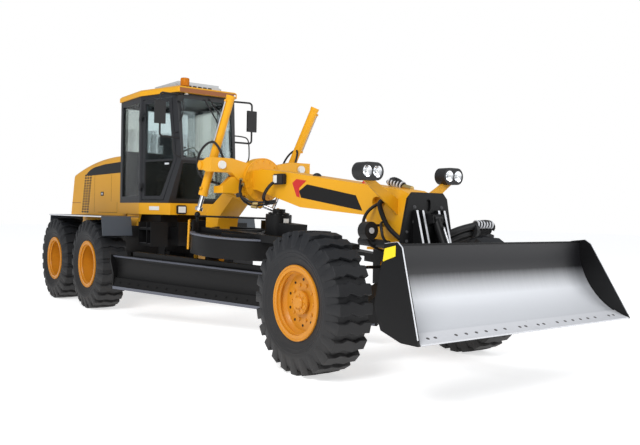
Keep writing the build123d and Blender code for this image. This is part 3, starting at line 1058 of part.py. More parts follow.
with BuildPart() as dozer_blade:
    with BuildSketch(Plane.XZ.offset(-DOZER_LOW_HALF)):
        with BuildLine():
            ThreePointArc((PIVOT_X + DOZER_TOP[0], DOZER_TOP[1]), (PIVOT_X + DOZER_BACK[0], DOZER_BACK[1]),
                          (PIVOT_X + DOZER_EDGE[0], DOZER_EDGE[1]))
            Line((PIVOT_X + DOZER_EDGE[0], DOZER_EDGE[1]),
                 (PIVOT_X + DOZER_EDGE[0] - 2 * DOZER_SHEET, DOZER_EDGE[1]))
            ThreePointArc((PIVOT_X + DOZER_EDGE[0] - 2 * DOZER_SHEET, DOZER_EDGE[1]),
                          (PIVOT_X + DOZER_BACK[0] - DOZER_SHEET, DOZER_BACK[1] - 8),
                          (PIVOT_X + DOZER_TOP[0] - DOZER_SHEET, DOZER_TOP[1]))
            Line((PIVOT_X + DOZER_TOP[0] - DOZER_SHEET, DOZER_TOP[1]),
                 (PIVOT_X + DOZER_TOP[0], DOZER_TOP[1]))
        make_face()
    extrude(amount=2 * DOZER_LOW_HALF)
    # end plates
    for hand, _ in both():
        # columns: how far behind the edge, height
        side([(PIVOT_X + NOSE_REACH - back, z) for back, z in (
            (540, DOZER_TOP[1]), (400, DOZER_TOP[1] + 17), (340, DOZER_TOP[1] - 23), (15, DOZER_EDGE[1] + 43),
            (0, DOZER_EDGE[1]), (180, DOZER_EDGE[1]), (420, DOZER_EDGE[1] + 63), (540, DOZER_EDGE[1] + 243))],
             *sorted((hand * (DOZER_LOW_HALF - 200), hand * DOZER_LOW_HALF)))
    with BuildPart(mode=Mode.PRIVATE) as flare:
        front([(-DOZER_TOP_HALF, 1310), (DOZER_TOP_HALF, 1310), (DOZER_LOW_HALF, 540),
               (-DOZER_LOW_HALF, 540)], PIVOT_X + NOSE_REACH - 680, PIVOT_X + NOSE_REACH + 120)
    add(flare.part, mode=Mode.INTERSECT)
    with BuildPart(mode=Mode.PRIVATE) as hollow:
        front([(-DOZER_TOP_HALF + DOZER_SHEET, 1310), (DOZER_TOP_HALF - DOZER_SHEET, 1310),
               (DOZER_LOW_HALF - DOZER_SHEET, 540), (-DOZER_LOW_HALF + DOZER_SHEET, 540)],
              PIVOT_X + NOSE_REACH - 680, PIVOT_X + NOSE_REACH + 120)
        with BuildSketch(Plane.XZ.offset(-DOZER_LOW_HALF)) as face_side:
            with BuildLine():
                ThreePointArc((PIVOT_X + DOZER_TOP[0], DOZER_TOP[1]),
                              (PIVOT_X + DOZER_BACK[0], DOZER_BACK[1]),
                              (PIVOT_X + DOZER_EDGE[0], DOZER_EDGE[1]))
                Polyline((PIVOT_X + DOZER_EDGE[0], DOZER_EDGE[1]), (PIVOT_X + NOSE_REACH + 120, DOZER_EDGE[1]),
                         (PIVOT_X + NOSE_REACH + 120, 1400), (PIVOT_X + DOZER_TOP[0], 1400),
                         (PIVOT_X + DOZER_TOP[0], DOZER_TOP[1]))
            make_face()
        extrude(to_extrude=face_side.sketch, amount=2 * DOZER_LOW_HALF, mode=Mode.INTERSECT)
    add(hollow.part, mode=Mode.SUBTRACT)
    # back beam with ears for the arms
    block(PIVOT_X + NOSE_REACH - 500, PIVOT_X + DOZER_BACK[0], -900, 900, BLADE_PIN[1] - 70, BLADE_PIN[1] + 70)
    for centre in (-ARM_Y, ARM_Y):
        reach = ARM_HALF + ARM_GAP
        for low in (centre - reach - PLATE, centre + reach):
            side([(PIVOT_X + x, z) for x, z in ((BLADE_PIN[0] - 45, BLADE_PIN[1] - 45),
                                                (BLADE_PIN[0] + 80, BLADE_PIN[1] - 60),
                                                (BLADE_PIN[0] + 80, BLADE_PIN[1] + 60),
                                                (BLADE_PIN[0] - 45, BLADE_PIN[1] + 45))],
                 low, low + PLATE)
        bar((PIVOT_X + BLADE_PIN[0], centre - reach, BLADE_PIN[1]),
            (PIVOT_X + BLADE_PIN[0], centre + reach, BLADE_PIN[1]), ARM_PIN_R)
save(dozer_blade, "dozer_blade")
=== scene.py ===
# %% [markdown]
# # A motor grader, dressed
#
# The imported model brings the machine's solids: frames, wheels, cab, blades and cylinders, each already on
# the body that moves it. This script adds what a solid doesn't carry: paint and rubber, tread, hoses,
# bolts, lenses, louvres, seams. A detail could be drawn with textures, but here everything is geometry or a
# node material, so that it looks the same from every side and in every pose.

# %% Load the frame
from math import atan2, cos, hypot, pi, radians, sin

import bmesh
import bpy
from mathutils import Matrix, Vector


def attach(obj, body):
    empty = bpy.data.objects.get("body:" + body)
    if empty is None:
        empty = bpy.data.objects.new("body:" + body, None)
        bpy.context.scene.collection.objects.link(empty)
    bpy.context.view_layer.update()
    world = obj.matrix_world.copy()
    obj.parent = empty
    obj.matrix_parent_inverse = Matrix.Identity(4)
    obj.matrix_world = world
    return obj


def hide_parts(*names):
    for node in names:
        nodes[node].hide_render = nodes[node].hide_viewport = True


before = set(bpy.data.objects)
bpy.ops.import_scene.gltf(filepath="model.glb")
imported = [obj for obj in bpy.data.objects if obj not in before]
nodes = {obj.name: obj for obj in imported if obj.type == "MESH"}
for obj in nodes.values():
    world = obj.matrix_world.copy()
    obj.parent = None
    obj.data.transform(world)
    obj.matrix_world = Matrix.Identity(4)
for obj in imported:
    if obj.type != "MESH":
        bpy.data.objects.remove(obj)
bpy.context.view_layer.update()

TANDEM_X = -2.890            # the tandem pivot, from which stations are counted
TYRE_R = 0.675
HALF_TRACK = 1.090
SIDES = ((1, "left"), (-1, "right"))


def station(x, y, z):
    """A point given by its station along the machine."""
    return Vector((TANDEM_X + x, y, z))


# %% [markdown]
# ## The camera
#
# The machine is seen from ahead and to its right, from about a person's height, with a fairly wide lens. A
# camera is placed by its position and three angles: yaw, a slight look down, and a small roll. Its matrix
# is built from those, because a Track To constraint could not hold the roll.

# %% Camera
CAMERA_AT = station(11.722, -5.217, 1.514)
CAMERA_YAW, CAMERA_DOWN, CAMERA_ROLL = radians(142.5376), radians(0.732), radians(1.072)
LENS, SENSOR = 41.05, 36     # millimetres
forward = Vector((cos(CAMERA_DOWN) * cos(CAMERA_YAW), cos(CAMERA_DOWN) * sin(CAMERA_YAW), -sin(CAMERA_DOWN)))
level_right = forward.cross(Vector((0, 0, 1))).normalized()
level_up = level_right.cross(forward)
right = cos(CAMERA_ROLL) * level_right + sin(CAMERA_ROLL) * level_up
up = -sin(CAMERA_ROLL) * level_right + cos(CAMERA_ROLL) * level_up

camera_data = bpy.data.cameras.new("camera")
camera_data.lens = LENS
camera_data.sensor_width = SENSOR
camera = bpy.data.objects.new("camera", camera_data)
bpy.context.scene.collection.objects.link(camera)
camera.matrix_world = Matrix((
    (right.x, up.x, -forward.x, CAMERA_AT.x),
    (right.y, up.y, -forward.y, CAMERA_AT.y),
    (right.z, up.z, -forward.z, CAMERA_AT.z),
    (0, 0, 0, 1)))
bpy.context.scene.camera = camera
print("camera", [round(value, 3) for value in camera.location])

# %% [markdown]
# ## Light, floor and background
#
# A machine in a studio stands in a white surround under broad soft light. A large area lamp over the front
# right gives the shapes their shading, a weaker one fills from the left, and the world gives the rest. The
# world is white only for camera and transmitted rays, so it shows behind the machine and through its glass,
# but neither lights nor fogs the paint. The pale floor glows a little of its own and keeps the machine's
# shadow.

# %% Light and floor
scene = bpy.context.scene
scene.view_settings.view_transform = "Standard"
WORLD_LIGHT = 0.44
FLOOR_GLOW = 0.62
FLOOR_HALF = 60.0
WHITE = (1.0, 1.0, 1.0, 1.0)


def show_white_to_eye(tree, lit_shader, output):
    """Feeds a world's output with lit_shader, but with plain white for camera and transmitted rays."""
    path = tree.nodes.new("ShaderNodeLightPath")
    any_ray = tree.nodes.new("ShaderNodeMath")
    any_ray.operation = "MAXIMUM"
    tree.links.new(path.outputs["Is Camera Ray"], any_ray.inputs[0])
    tree.links.new(path.outputs["Is Transmission Ray"], any_ray.inputs[1])
    white = tree.nodes.new("ShaderNodeBackground")
    white.inputs["Color"].default_value = WHITE
    white.inputs["Strength"].default_value = 1.0
    mix = tree.nodes.new("ShaderNodeMixShader")
    tree.links.new(any_ray.outputs[0], mix.inputs[0])
    tree.links.new(lit_shader.outputs[0], mix.inputs[1])
    tree.links.new(white.outputs[0], mix.inputs[2])
    tree.links.new(mix.outputs[0], output.inputs[0])


world = bpy.data.worlds.new("studio")
scene.world = world
world.use_nodes = True
world.node_tree.nodes.clear()
sky = world.node_tree.nodes.new("ShaderNodeBackground")
sky.inputs["Color"].default_value = (0.93, 0.96, 1.0, 1.0)
sky.inputs["Strength"].default_value = WORLD_LIGHT
show_white_to_eye(world.node_tree, sky, world.node_tree.nodes.new("ShaderNodeOutputWorld"))


def area_lamp(name, place, aim, size, watts):
    """A soft square lamp that looks at a point."""
    data = bpy.data.lights.new(name, "AREA")
    data.size = size
    data.energy = watts
    lamp = bpy.data.objects.new(name, data)
    scene.collection.objects.link(lamp)
    lamp.location = place
    lamp.rotation_euler = (Vector(aim) - Vector(place)).to_track_quat("-Z", "Y").to_euler()


# columns: name, place, the point it looks at, width, watts
lamp_rows = (("key_lamp", (7.0, -8.5, 9.5), (0, 0, 1.0), 6.0, 1180),
             ("fill_lamp", (10.5, 6.5, 5.5), (1.0, 0, 1.0), 6.0, 340))
for lamp_row in lamp_rows:
    area_lamp(*lamp_row)

floor_mesh = bpy.data.meshes.new("floor")
floor_corners = [(x * FLOOR_HALF, y * FLOOR_HALF, 0) for x, y in ((-1, -1), (1, -1), (1, 1), (-1, 1))]
floor_mesh.from_pydata(floor_corners, [], [(0, 1, 2, 3)])
floor = bpy.data.objects.new("floor", floor_mesh)
scene.collection.objects.link(floor)
floor_paint = bpy.data.materials.new("pale_floor")
floor_paint.use_nodes = True
floor_shader = floor_paint.node_tree.nodes["Principled BSDF"]
floor_shader.inputs["Base Color"].default_value = (0.86, 0.86, 0.86, 1)
floor_shader.inputs["Roughness"].default_value = 0.9
floor_shader.inputs["Emission Color"].default_value = WHITE
floor_shader.inputs["Emission Strength"].default_value = FLOOR_GLOW
floor_mesh.materials.append(floor_paint)
print("world light", WORLD_LIGHT, "lamps", len(lamp_rows))

# %% [markdown]
# ## Effects that several finishes share
#
# Real paint and rubber are never one flat colour. Dust settles low down, the colour is slightly mottled,
# and every surface has a fine grain. Dust and mottle make one node group with named sockets, and the grain
# makes another. They put out only a colour, a roughness or a normal, and each material keeps its own
# shader.


# %% Node group helpers
def new_group(name, sockets_in, sockets_out):
    """A shader node group with named sockets, its input node and its output node."""
    group = bpy.data.node_groups.new(name, "ShaderNodeTree")
    for label, kind, value in sockets_in:
        socket = group.interface.new_socket(label, in_out="INPUT", socket_type=kind)
        if value is not None:
            socket.default_value = value
    for label, kind in sockets_out:
        group.interface.new_socket(label, in_out="OUTPUT", socket_type=kind)
    return group, group.nodes.new("NodeGroupInput"), group.nodes.new("NodeGroupOutput")


def math_node(tree, operation, a, b=None, clamp=False):
    """A Math node fed by sockets or plain numbers."""
    node = tree.nodes.new("ShaderNodeMath")
    node.operation = operation
    node.use_clamp = clamp
    for slot, value in enumerate((a, b)):
        if value is None:
            continue
        if isinstance(value, (int, float)):
            node.inputs[slot].default_value = value
        else:
            tree.links.new(value, node.inputs[slot])
    return node.outputs[0]


def noise_node(tree, vector, scale, detail=4.0):
    """A Noise Texture on a vector."""
    node = tree.nodes.new("ShaderNodeTexNoise")
    tree.links.new(vector, node.inputs["Vector"])
    if isinstance(scale, (int, float)):
        node.inputs["Scale"].default_value = scale
    else:
        tree.links.new(scale, node.inputs["Scale"])
    node.inputs["Detail"].default_value = detail
    return node.outputs["Fac"]


# %% Weathering group
weather, weather_in, weather_out = new_group(
    "weathering",
    (("Color", "NodeSocketColor", (0.8, 0.8, 0.8, 1)),
     ("Dust Color", "NodeSocketColor", (0.35, 0.31, 0.26, 1)),
     ("Dust", "NodeSocketFloat", 0.15),
     ("Dust Height", "NodeSocketFloat", 1.0),
     ("Mottle", "NodeSocketFloat", 0.06),
     ("Roughness", "NodeSocketFloat", 0.4)),
    (("Color", "NodeSocketColor"), ("Roughness", "NodeSocketFloat")))
place = weather.nodes.new("ShaderNodeTexCoord").outputs["Object"]
broad = noise_node(weather, place, 2.3, 5.0)
fine = noise_node(weather, place, 38.0, 3.0)
# a soft mottle of the paint itself
from_middle = math_node(weather, "SUBTRACT", broad, 0.5)
swing = math_node(weather, "MULTIPLY", from_middle, weather_in.outputs["Mottle"])
level = math_node(weather, "ADD", swing, 1.0)
tinted = weather.nodes.new("ShaderNodeVectorMath")
tinted.operation = "SCALE"
weather.links.new(weather_in.outputs["Color"], tinted.inputs[0])
weather.links.new(level, tinted.inputs["Scale"])
# dust that thins out with height
split = weather.nodes.new("ShaderNodeSeparateXYZ")
weather.links.new(place, split.inputs[0])
height_share = math_node(weather, "DIVIDE", split.outputs["Z"], weather_in.outputs["Dust Height"])
low_down = math_node(weather, "SUBTRACT", 1.0, height_share, clamp=True)
patches = math_node(weather, "ADD", math_node(weather, "MULTIPLY", fine, 0.8), broad)
settled = math_node(weather, "MULTIPLY", low_down, patches)
dust = math_node(weather, "MULTIPLY", settled, weather_in.outputs["Dust"], clamp=True)
dusted = weather.nodes.new("ShaderNodeMix")
dusted.data_type = "RGBA"
weather.links.new(dust, dusted.inputs["Factor"])
weather.links.new(tinted.outputs[0], dusted.inputs["A"])
weather.links.new(weather_in.outputs["Dust Color"], dusted.inputs["B"])
weather.links.new(dusted.outputs["Result"], weather_out.inputs["Color"])
# dust dulls the surface, and the fine noise makes its shine uneven
from_dust = math_node(weather, "MULTIPLY", dust, 0.5)
uneven = math_node(weather, "MULTIPLY", math_node(weather, "SUBTRACT", fine, 0.5), 0.12)
rough = math_node(weather, "ADD", weather_in.outputs["Roughness"],
                  math_node(weather, "ADD", from_dust, uneven), clamp=True)
weather.links.new(rough, weather_out.inputs["Roughness"])
print("group", weather.name, "inputs", len(weather.interface.items_tree) - 2)

# %% Grain group
grain, grain_in, grain_out = new_group(
    "surface_grain",
    (("Scale", "NodeSocketFloat", 200.0),
     ("Strength", "NodeSocketFloat", 0.1),
     ("Distance", "NodeSocketFloat", 0.001)),
    (("Normal", "NodeSocketVector"),))
grain_place = grain.nodes.new("ShaderNodeTexCoord").outputs["Object"]
grain_noise = noise_node(grain, grain_place, grain_in.outputs["Scale"], 3.0)
grain_bump = grain.nodes.new("ShaderNodeBump")
grain.links.new(grain_noise, grain_bump.inputs["Height"])
grain.links.new(grain_in.outputs["Strength"], grain_bump.inputs["Strength"])
grain.links.new(grain_in.outputs["Distance"], grain_bump.inputs["Distance"])
grain.links.new(grain_bump.outputs[0], grain_out.inputs["Normal"])
print("group", grain.name)

# %% [markdown]
# ## Finishes
#
# The machine wears deep orange-yellow enamel, satin black and dark grey on its cab and working gear, black
# rubber, chrome rods, tinted glass and a few bright plastics. Each is one Principled shader with the shared
# groups in front of it. The colours are written as linear values, so they are lower than the same colours
# in a paint program.


# %% Finish maker
def finish(name, color, roughness, metallic=0.0, dust=0.12, dust_height=1.2, mottle=0.08, grain_scale=220.0,
           grain_strength=0.08, coat=0.0, grain_depth=0.001, sheen=0.5):
    """A weathered, grained Principled material."""
    material = bpy.data.materials.new(name)
    material.use_nodes = True
    tree = material.node_tree
    shader = tree.nodes["Principled BSDF"]
    wear = tree.nodes.new("ShaderNodeGroup")
    wear.node_tree = weather
    wear.inputs["Color"].default_value = (*color, 1)
    wear.inputs["Dust"].default_value = dust
    wear.inputs["Dust Height"].default_value = dust_height
    wear.inputs["Mottle"].default_value = mottle
    wear.inputs["Roughness"].default_value = roughness
    tree.links.new(wear.outputs["Color"], shader.inputs["Base Color"])
    tree.links.new(wear.outputs["Roughness"], shader.inputs["Roughness"])
    rough_skin = tree.nodes.new("ShaderNodeGroup")
    rough_skin.node_tree = grain
    rough_skin.inputs["Scale"].default_value = grain_scale
    rough_skin.inputs["Strength"].default_value = grain_strength
    rough_skin.inputs["Distance"].default_value = grain_depth
    tree.links.new(rough_skin.outputs["Normal"], shader.inputs["Normal"])
    shader.inputs["Metallic"].default_value = metallic
    shader.inputs["Specular IOR Level"].default_value = sheen
    if coat:
        shader.inputs["Coat Weight"].default_value = coat
        shader.inputs["Coat Roughness"].default_value = 0.12
    return material


# columns: name, colour, roughness, then what differs from a plain finish
yellow = finish("orange_yellow_enamel", (0.76, 0.360, 0.010), 0.38, coat=0.10, dust=0.04, sheen=0.25)
rim_yellow = finish("rim_enamel", (0.57, 0.22, 0.008), 0.40, coat=0.08, dust=0.05, sheen=0.25)
black = finish("satin_black_enamel", (0.0055, 0.0055, 0.006), 0.44, dust=0.015, grain_strength=0.05,
               sheen=0.22)
cab_black = finish("cab_grey_black", (0.018, 0.019, 0.022), 0.40, dust=0.02, sheen=0.35)
fender_grey = finish("fender_slate", (0.045, 0.055, 0.070), 0.42, dust=0.08)
rubber = finish("tyre_rubber", (0.0095, 0.0105, 0.013), 0.62, dust=0.06, dust_height=1.3, grain_scale=120.0,
                grain_strength=0.25, grain_depth=0.002, sheen=0.3)
hose_rubber = finish("hose_rubber", (0.014, 0.014, 0.015), 0.55, dust=0.04, grain_scale=400.0,
                     grain_strength=0.1, sheen=0.3)
plastic = finish("moulded_plastic", (0.017, 0.017, 0.018), 0.5, dust=0.02, grain_scale=500.0,
                 grain_strength=0.15, sheen=0.3)
iron = finish("cast_iron_paint", (0.05, 0.05, 0.054), 0.6, dust=0.15, grain_scale=90.0, grain_strength=0.2)
chrome = finish("chrome_rod", (0.80, 0.81, 0.83), 0.12, metallic=1.0, dust=0.0, mottle=0.02,
                grain_strength=0.0)
steel = finish("ground_steel", (0.62, 0.63, 0.65), 0.34, metallic=0.85, dust=0.05, grain_scale=90.0,
               grain_strength=0.08)
brass = finish("plated_fitting", (0.55, 0.42, 0.18), 0.35, metallic=0.9, dust=0.03)
seat_cloth = finish("seat_cloth", (0.018, 0.019, 0.022), 0.85, dust=0.0, grain_scale=700.0,
                    grain_strength=0.5)
white_paint = finish("white_cap", (0.72, 0.72, 0.70), 0.4, dust=0.05)
red_paint = finish("red_stripe", (0.55, 0.015, 0.012), 0.4, dust=0.02)
ring_grey = finish("worn_ring_grey", (0.105, 0.112, 0.14), 0.45, dust=0.04)
plate_yellow = finish("plate_yellow", (0.80, 0.62, 0.012), 0.4, dust=0.0)
# bright steel on edges, handles and latches, and painted highlight on the fender edges and hose sleeve rings
bright_metal_and_highlight = finish("bright_metal_and_highlight", (0.64, 0.65, 0.68), 0.40, metallic=0.1, dust=0.01)
# dark orange: painted shade on the roof's front fascia, and the hood's thin lines
shade_and_stripe_orange = finish("shade_and_stripe_orange", (0.25, 0.072, 0.006), 0.45, dust=0.0)
unit_white = finish("air_unit_white", (0.52, 0.54, 0.55), 0.5, dust=0.03)
print("finishes", len(bpy.data.materials))


# %% Glass
DOOR_POST = 1.340            # the station ahead of which the side panes are doors
REAR_PANE_HALF = 0.560       # inside this, a pane faces fore or aft
WAIST = 2.245                # height of the rail between the lower and upper panes


def clear_finish(name, color, roughness, alpha, transmission=1.0):
    """Thin tinted glass or a clear lens."""
    material = bpy.data.materials.new(name)
    material.use_nodes = True
    shader = material.node_tree.nodes["Principled BSDF"]
    shader.inputs["Base Color"].default_value = (*color, 1)
    shader.inputs["Roughness"].default_value = roughness
    shader.inputs["Transmission Weight"].default_value = transmission
    shader.inputs["Alpha"].default_value = alpha
    shader.inputs["IOR"].default_value = 1.15
    return material


def tint_panes(material, height, low_color, high_color):
    """Two tints of glass in one material: dark below a height and in the rear side panes, pale elsewhere."""
    tree = material.node_tree
    apart = tree.nodes.new("ShaderNodeSeparateXYZ")
    tree.links.new(tree.nodes.new("ShaderNodeTexCoord").outputs["Object"], apart.inputs[0])
    above = math_node(tree, "GREATER_THAN", apart.outputs["Z"], height)
    ahead = math_node(tree, "GREATER_THAN", apart.outputs["X"], TANDEM_X + DOOR_POST)
    between = math_node(tree, "LESS_THAN", math_node(tree, "ABSOLUTE", apart.outputs["Y"]), REAR_PANE_HALF)
    light = math_node(tree, "MULTIPLY", above, math_node(tree, "MAXIMUM", ahead, between), clamp=True)
    tint = tree.nodes.new("ShaderNodeMix")
    tint.data_type = "RGBA"
    tree.links.new(light, tint.inputs["Factor"])
    tint.inputs["A"].default_value = (*low_color, 1)
    tint.inputs["B"].default_value = (*high_color, 1)
    tree.links.new(tint.outputs["Result"], tree.nodes["Principled BSDF"].inputs["Base Color"])


glass = clear_finish("tinted_glass", (0.55, 0.68, 0.66), 0.02, 0.50)
tint_panes(glass, WAIST, (0.30, 0.35, 0.28), (0.50, 0.64, 0.66))
lens = clear_finish("lamp_lens", (0.92, 0.94, 0.95), 0.08, 0.75)
beacon_orange = clear_finish("beacon_amber", (0.9, 0.28, 0.02), 0.15, 0.95, 0.4)
print("glass", glass.name, lens.name, beacon_orange.name)

# %% [markdown]
# ## Paint on the machine's own solids
#
# A solid whose shape is right keeps its mesh and takes a finish. The table gives each finish the nodes that
# wear it.

# %% Paint the nodes
paint_table = {
    yellow: ("engine_hood", "cab_base", "cab_roof", "main_frame", "lift_saddle", "trunnion_left",
             "trunnion_right", "lift_barrel_left", "lift_barrel_right", "shift_barrel", "circle_arms"),
    rim_yellow: tuple(n for n in nodes if n.startswith("rim_")),
    black: ("dozer_mast", "dozer_arms", "dozer_barrel", "dozer_blade", "drawbar", "circle",
            "blade_carrier", "moldboard", "rear_frame", "engine_stacks", "axle_beam", "tandem_drive",
            "lean_yoke_left", "lean_yoke_right", "lean_bar", "tie_rod"),
    cab_black: ("cab_frame", "door_left", "door_right"),
    fender_grey: ("fenders",),
    rubber: tuple(n for n in nodes if n.startswith("tyre_")),
    plastic: ("cab_fittings", "head_lamps"),
    iron: ("engine_block", "knuckle_left", "knuckle_right"),
    chrome: ("lift_rod_left", "lift_rod_right", "shift_rod", "dozer_rod"),
    steel: ("drawbar_ball", "tie_rod_ball", "shift_pin"),
    seat_cloth: ("cab_interior",),
    glass: ("cab_glass", "door_glass_left", "door_glass_right"),
}
for material, names in paint_table.items():
    for name in names:
        nodes[name].data.materials.clear()
        nodes[name].data.materials.append(material)
left_bare = sorted(set(nodes) - {n for names in paint_table.values() for n in names})
print("unpainted nodes", left_bare)

# %% [markdown]
# ## Putting a made mesh into the scene
#
# Every piece below ends the same way: a mesh with its place in its vertices, an object at the origin, one
# finish, and the name of the body that carries it. Faces are shaded smooth, and edges that turn sharply
# stay sharp. Each piece's name goes into a list, so that a cell can tell how many it made.


# %% Piece helpers
SHARP_TURN = radians(35)
made_pieces = []


def tell(what):
    """Prints how many pieces were made since it was last called."""
    print(what, "pieces", len(made_pieces))
    made_pieces.clear()


def smooth_by_angle(mesh):
    """Smooth faces, kept sharp along edges that turn more than SHARP_TURN."""
    work = bmesh.new()
    work.from_mesh(mesh)
    for face in work.faces:
        face.smooth = True
    for edge in work.edges:
        edge.smooth = len(edge.link_faces) == 2 and edge.calc_face_angle(0) < SHARP_TURN
    work.to_mesh(mesh)
    work.free()


def piece(name, mesh, body, material):
    """An object for a finished mesh, riding on a body."""
    mesh.materials.clear()
    mesh.materials.append(material)
    smooth_by_angle(mesh)
    made = bpy.data.objects.new(name, mesh)
    scene.collection.objects.link(made)
    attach(made, body)
    made_pieces.append(name)
    return made


def outward(work):
    """Merge doubles and turn every face outwards."""
    bmesh.ops.remove_doubles(work, verts=work.verts, dist=1e-6)
    bmesh.ops.recalc_face_normals(work, faces=work.faces)


def mesh_of(work, name):
    """A mesh from a bmesh, which is freed."""
    mesh = bpy.data.meshes.new(name)
    work.to_mesh(mesh)
    work.free()
    return mesh


def lathe(profile, steps=96):
    """A closed ring turned about Y from a closed profile of (y, radius) points."""
    work = bmesh.new()
    rings = []
    for step in range(steps):
        turn = 2 * pi * step / steps
        rings.append([work.verts.new((radius * cos(turn), y, radius * sin(turn))) for y, radius in profile])
    for ring, following in zip(rings, rings[1:] + rings[:1]):
        for index in range(len(profile)):
            after = (index + 1) % len(profile)
            work.faces.new((ring[index], ring[after], following[after], following[index]))
    outward(work)
    return work


def joined(name, meshes):
    """One mesh from several, which are removed."""
    work = bmesh.new()
    for mesh in meshes:
        work.from_mesh(mesh)
        bpy.data.meshes.remove(mesh)
    return mesh_of(work, name)


# %% [markdown]
# ## Repeats by Geometry Nodes
#
# Wheel studs, tread bars, louvre slots of painted shade and bolt rows are one small shape copied by a rule. A
# node tree does this with a few named inputs: it places points on a ring or a line, puts the shape on each,
# realizes the copies and sets their finish. The result is read back as a plain mesh and the modifier is
# dropped, so what the exporter sees is ordinary geometry.


# %% Node tree helpers
def new_tree(name, inputs):
    """A Geometry Nodes tree with named inputs and one geometry output."""
    tree = bpy.data.node_groups.new(name, "GeometryNodeTree")
    tree.interface.new_socket("Geometry", in_out="INPUT", socket_type="NodeSocketGeometry")
    for label, kind, value in inputs:
        socket = tree.interface.new_socket(label, in_out="INPUT", socket_type=kind)
        if value is not None:
            socket.default_value = value
    tree.interface.new_socket("Geometry", in_out="OUTPUT", socket_type="NodeSocketGeometry")
    return tree, tree.nodes.new("NodeGroupInput"), tree.nodes.new("NodeGroupOutput")


def close_tree(tree, instances, group_in, group_out):
    """Ends a tree in Realize Instances and Set Material."""
    real = tree.nodes.new("GeometryNodeRealizeInstances")
    paint = tree.nodes.new("GeometryNodeSetMaterial")
    tree.links.new(instances, real.inputs[0])
    tree.links.new(real.outputs[0], paint.inputs["Geometry"])
    tree.links.new(group_in.outputs["Material"], paint.inputs["Material"])
    tree.links.new(paint.outputs[0], group_out.inputs[0])


def grow(tree, name, inputs, matrix=None):
    """Runs a tree on an empty mesh with the given inputs and returns the plain mesh, moved by a matrix."""
    holder = bpy.data.objects.new(name, bpy.data.meshes.new(name))
    scene.collection.objects.link(holder)
    modifier = holder.modifiers.new("repeat", "NODES")
    modifier.node_group = tree
    for item in tree.interface.items_tree:
        if item.in_out == "INPUT" and item.name in inputs:
            modifier[item.identifier] = inputs[item.name]
    ready = holder.evaluated_get(bpy.context.evaluated_depsgraph_get())
    mesh = bpy.data.meshes.new_from_object(ready)
    mesh.name = name
    bpy.data.objects.remove(holder)
    if matrix is not None:
        mesh.transform(matrix)
    return mesh


# %% Ring of copies
ring_tree, ring_in, ring_out = new_tree("ring_of_copies", (
    ("Shape", "NodeSocketObject", None),
    ("Count", "NodeSocketInt", 10),
    ("Radius", "NodeSocketFloat", 0.1),
    ("Material", "NodeSocketMaterial", None)))
ring_points = ring_tree.nodes.new("GeometryNodePoints")
ring_tree.links.new(ring_in.outputs["Count"], ring_points.inputs["Count"])
ring_index = ring_tree.nodes.new("GeometryNodeInputIndex")
ring_share = math_node(ring_tree, "DIVIDE", ring_index.outputs[0], ring_in.outputs["Count"])
ring_turn = math_node(ring_tree, "MULTIPLY", ring_share, 2 * pi)
ring_x = math_node(ring_tree, "MULTIPLY", math_node(ring_tree, "COSINE", ring_turn),
                   ring_in.outputs["Radius"])
ring_y = math_node(ring_tree, "MULTIPLY", math_node(ring_tree, "SINE", ring_turn), ring_in.outputs["Radius"])
ring_place = ring_tree.nodes.new("ShaderNodeCombineXYZ")
ring_tree.links.new(ring_x, ring_place.inputs[0])
ring_tree.links.new(ring_y, ring_place.inputs[1])
ring_tree.links.new(ring_place.outputs[0], ring_points.inputs["Position"])
ring_spin = ring_tree.nodes.new("ShaderNodeCombineXYZ")
ring_tree.links.new(ring_turn, ring_spin.inputs[2])
ring_shape = ring_tree.nodes.new("GeometryNodeObjectInfo")
ring_tree.links.new(ring_in.outputs["Shape"], ring_shape.inputs[0])
ring_copies = ring_tree.nodes.new("GeometryNodeInstanceOnPoints")
ring_tree.links.new(ring_points.outputs[0], ring_copies.inputs["Points"])
ring_tree.links.new(ring_shape.outputs["Geometry"], ring_copies.inputs["Instance"])
ring_tree.links.new(ring_spin.outputs[0], ring_copies.inputs["Rotation"])
close_tree(ring_tree, ring_copies.outputs[0], ring_in, ring_out)

# %% Row of copies
row_tree, row_in, row_out = new_tree("row_of_copies", (
    ("Shape", "NodeSocketObject", None),
    ("Count", "NodeSocketInt", 5),
    ("Step", "NodeSocketVector", (0, 0, 0.1)),
    ("Material", "NodeSocketMaterial", None)))
row_line = row_tree.nodes.new("GeometryNodeMeshLine")
row_line.mode = "OFFSET"
row_tree.links.new(row_in.outputs["Count"], row_line.inputs["Count"])
row_tree.links.new(row_in.outputs["Step"], row_line.inputs["Offset"])
row_shape = row_tree.nodes.new("GeometryNodeObjectInfo")
row_tree.links.new(row_in.outputs["Shape"], row_shape.inputs[0])
row_copies = row_tree.nodes.new("GeometryNodeInstanceOnPoints")
row_tree.links.new(row_line.outputs[0], row_copies.inputs["Points"])
row_tree.links.new(row_shape.outputs["Geometry"], row_copies.inputs["Instance"])
close_tree(row_tree, row_copies.outputs[0], row_in, row_out)


def pattern_shape(name, mesh):
    """An object outside the scene that only lends its mesh to a tree."""
    return bpy.data.objects.new(name, mesh)


def facing(centre, axis):
    """The matrix that puts a flat pattern's centre somewhere and its Z along an axis."""
    z = Vector(axis).normalized()
    hint = Vector((0, 0, 1))
    if abs(z.dot(hint)) > 0.99:
        hint = Vector((1, 0, 0))
    x = hint.cross(z).normalized()
    y = z.cross(x)
    axes = Matrix((x, y, z)).transposed().to_4x4()
    return Matrix.Translation(Vector(centre)) @ axes


def hex_bolt(radius, height):
    """A hexagon head on a round washer, standing on z = 0."""
    work = bmesh.new()
    bmesh.ops.create_cone(work, cap_ends=True, segments=6, radius1=radius, radius2=radius, depth=height,
                          matrix=Matrix.Translation((0, 0, height / 2 + radius * 0.15)))
    bmesh.ops.create_cone(work, cap_ends=True, segments=14, radius1=radius * 1.35, radius2=radius * 1.25,
                          depth=radius * 0.3, matrix=Matrix.Translation((0, 0, radius * 0.15)))
    return mesh_of(work, "hex_bolt")


print("trees", ring_tree.name, row_tree.name)

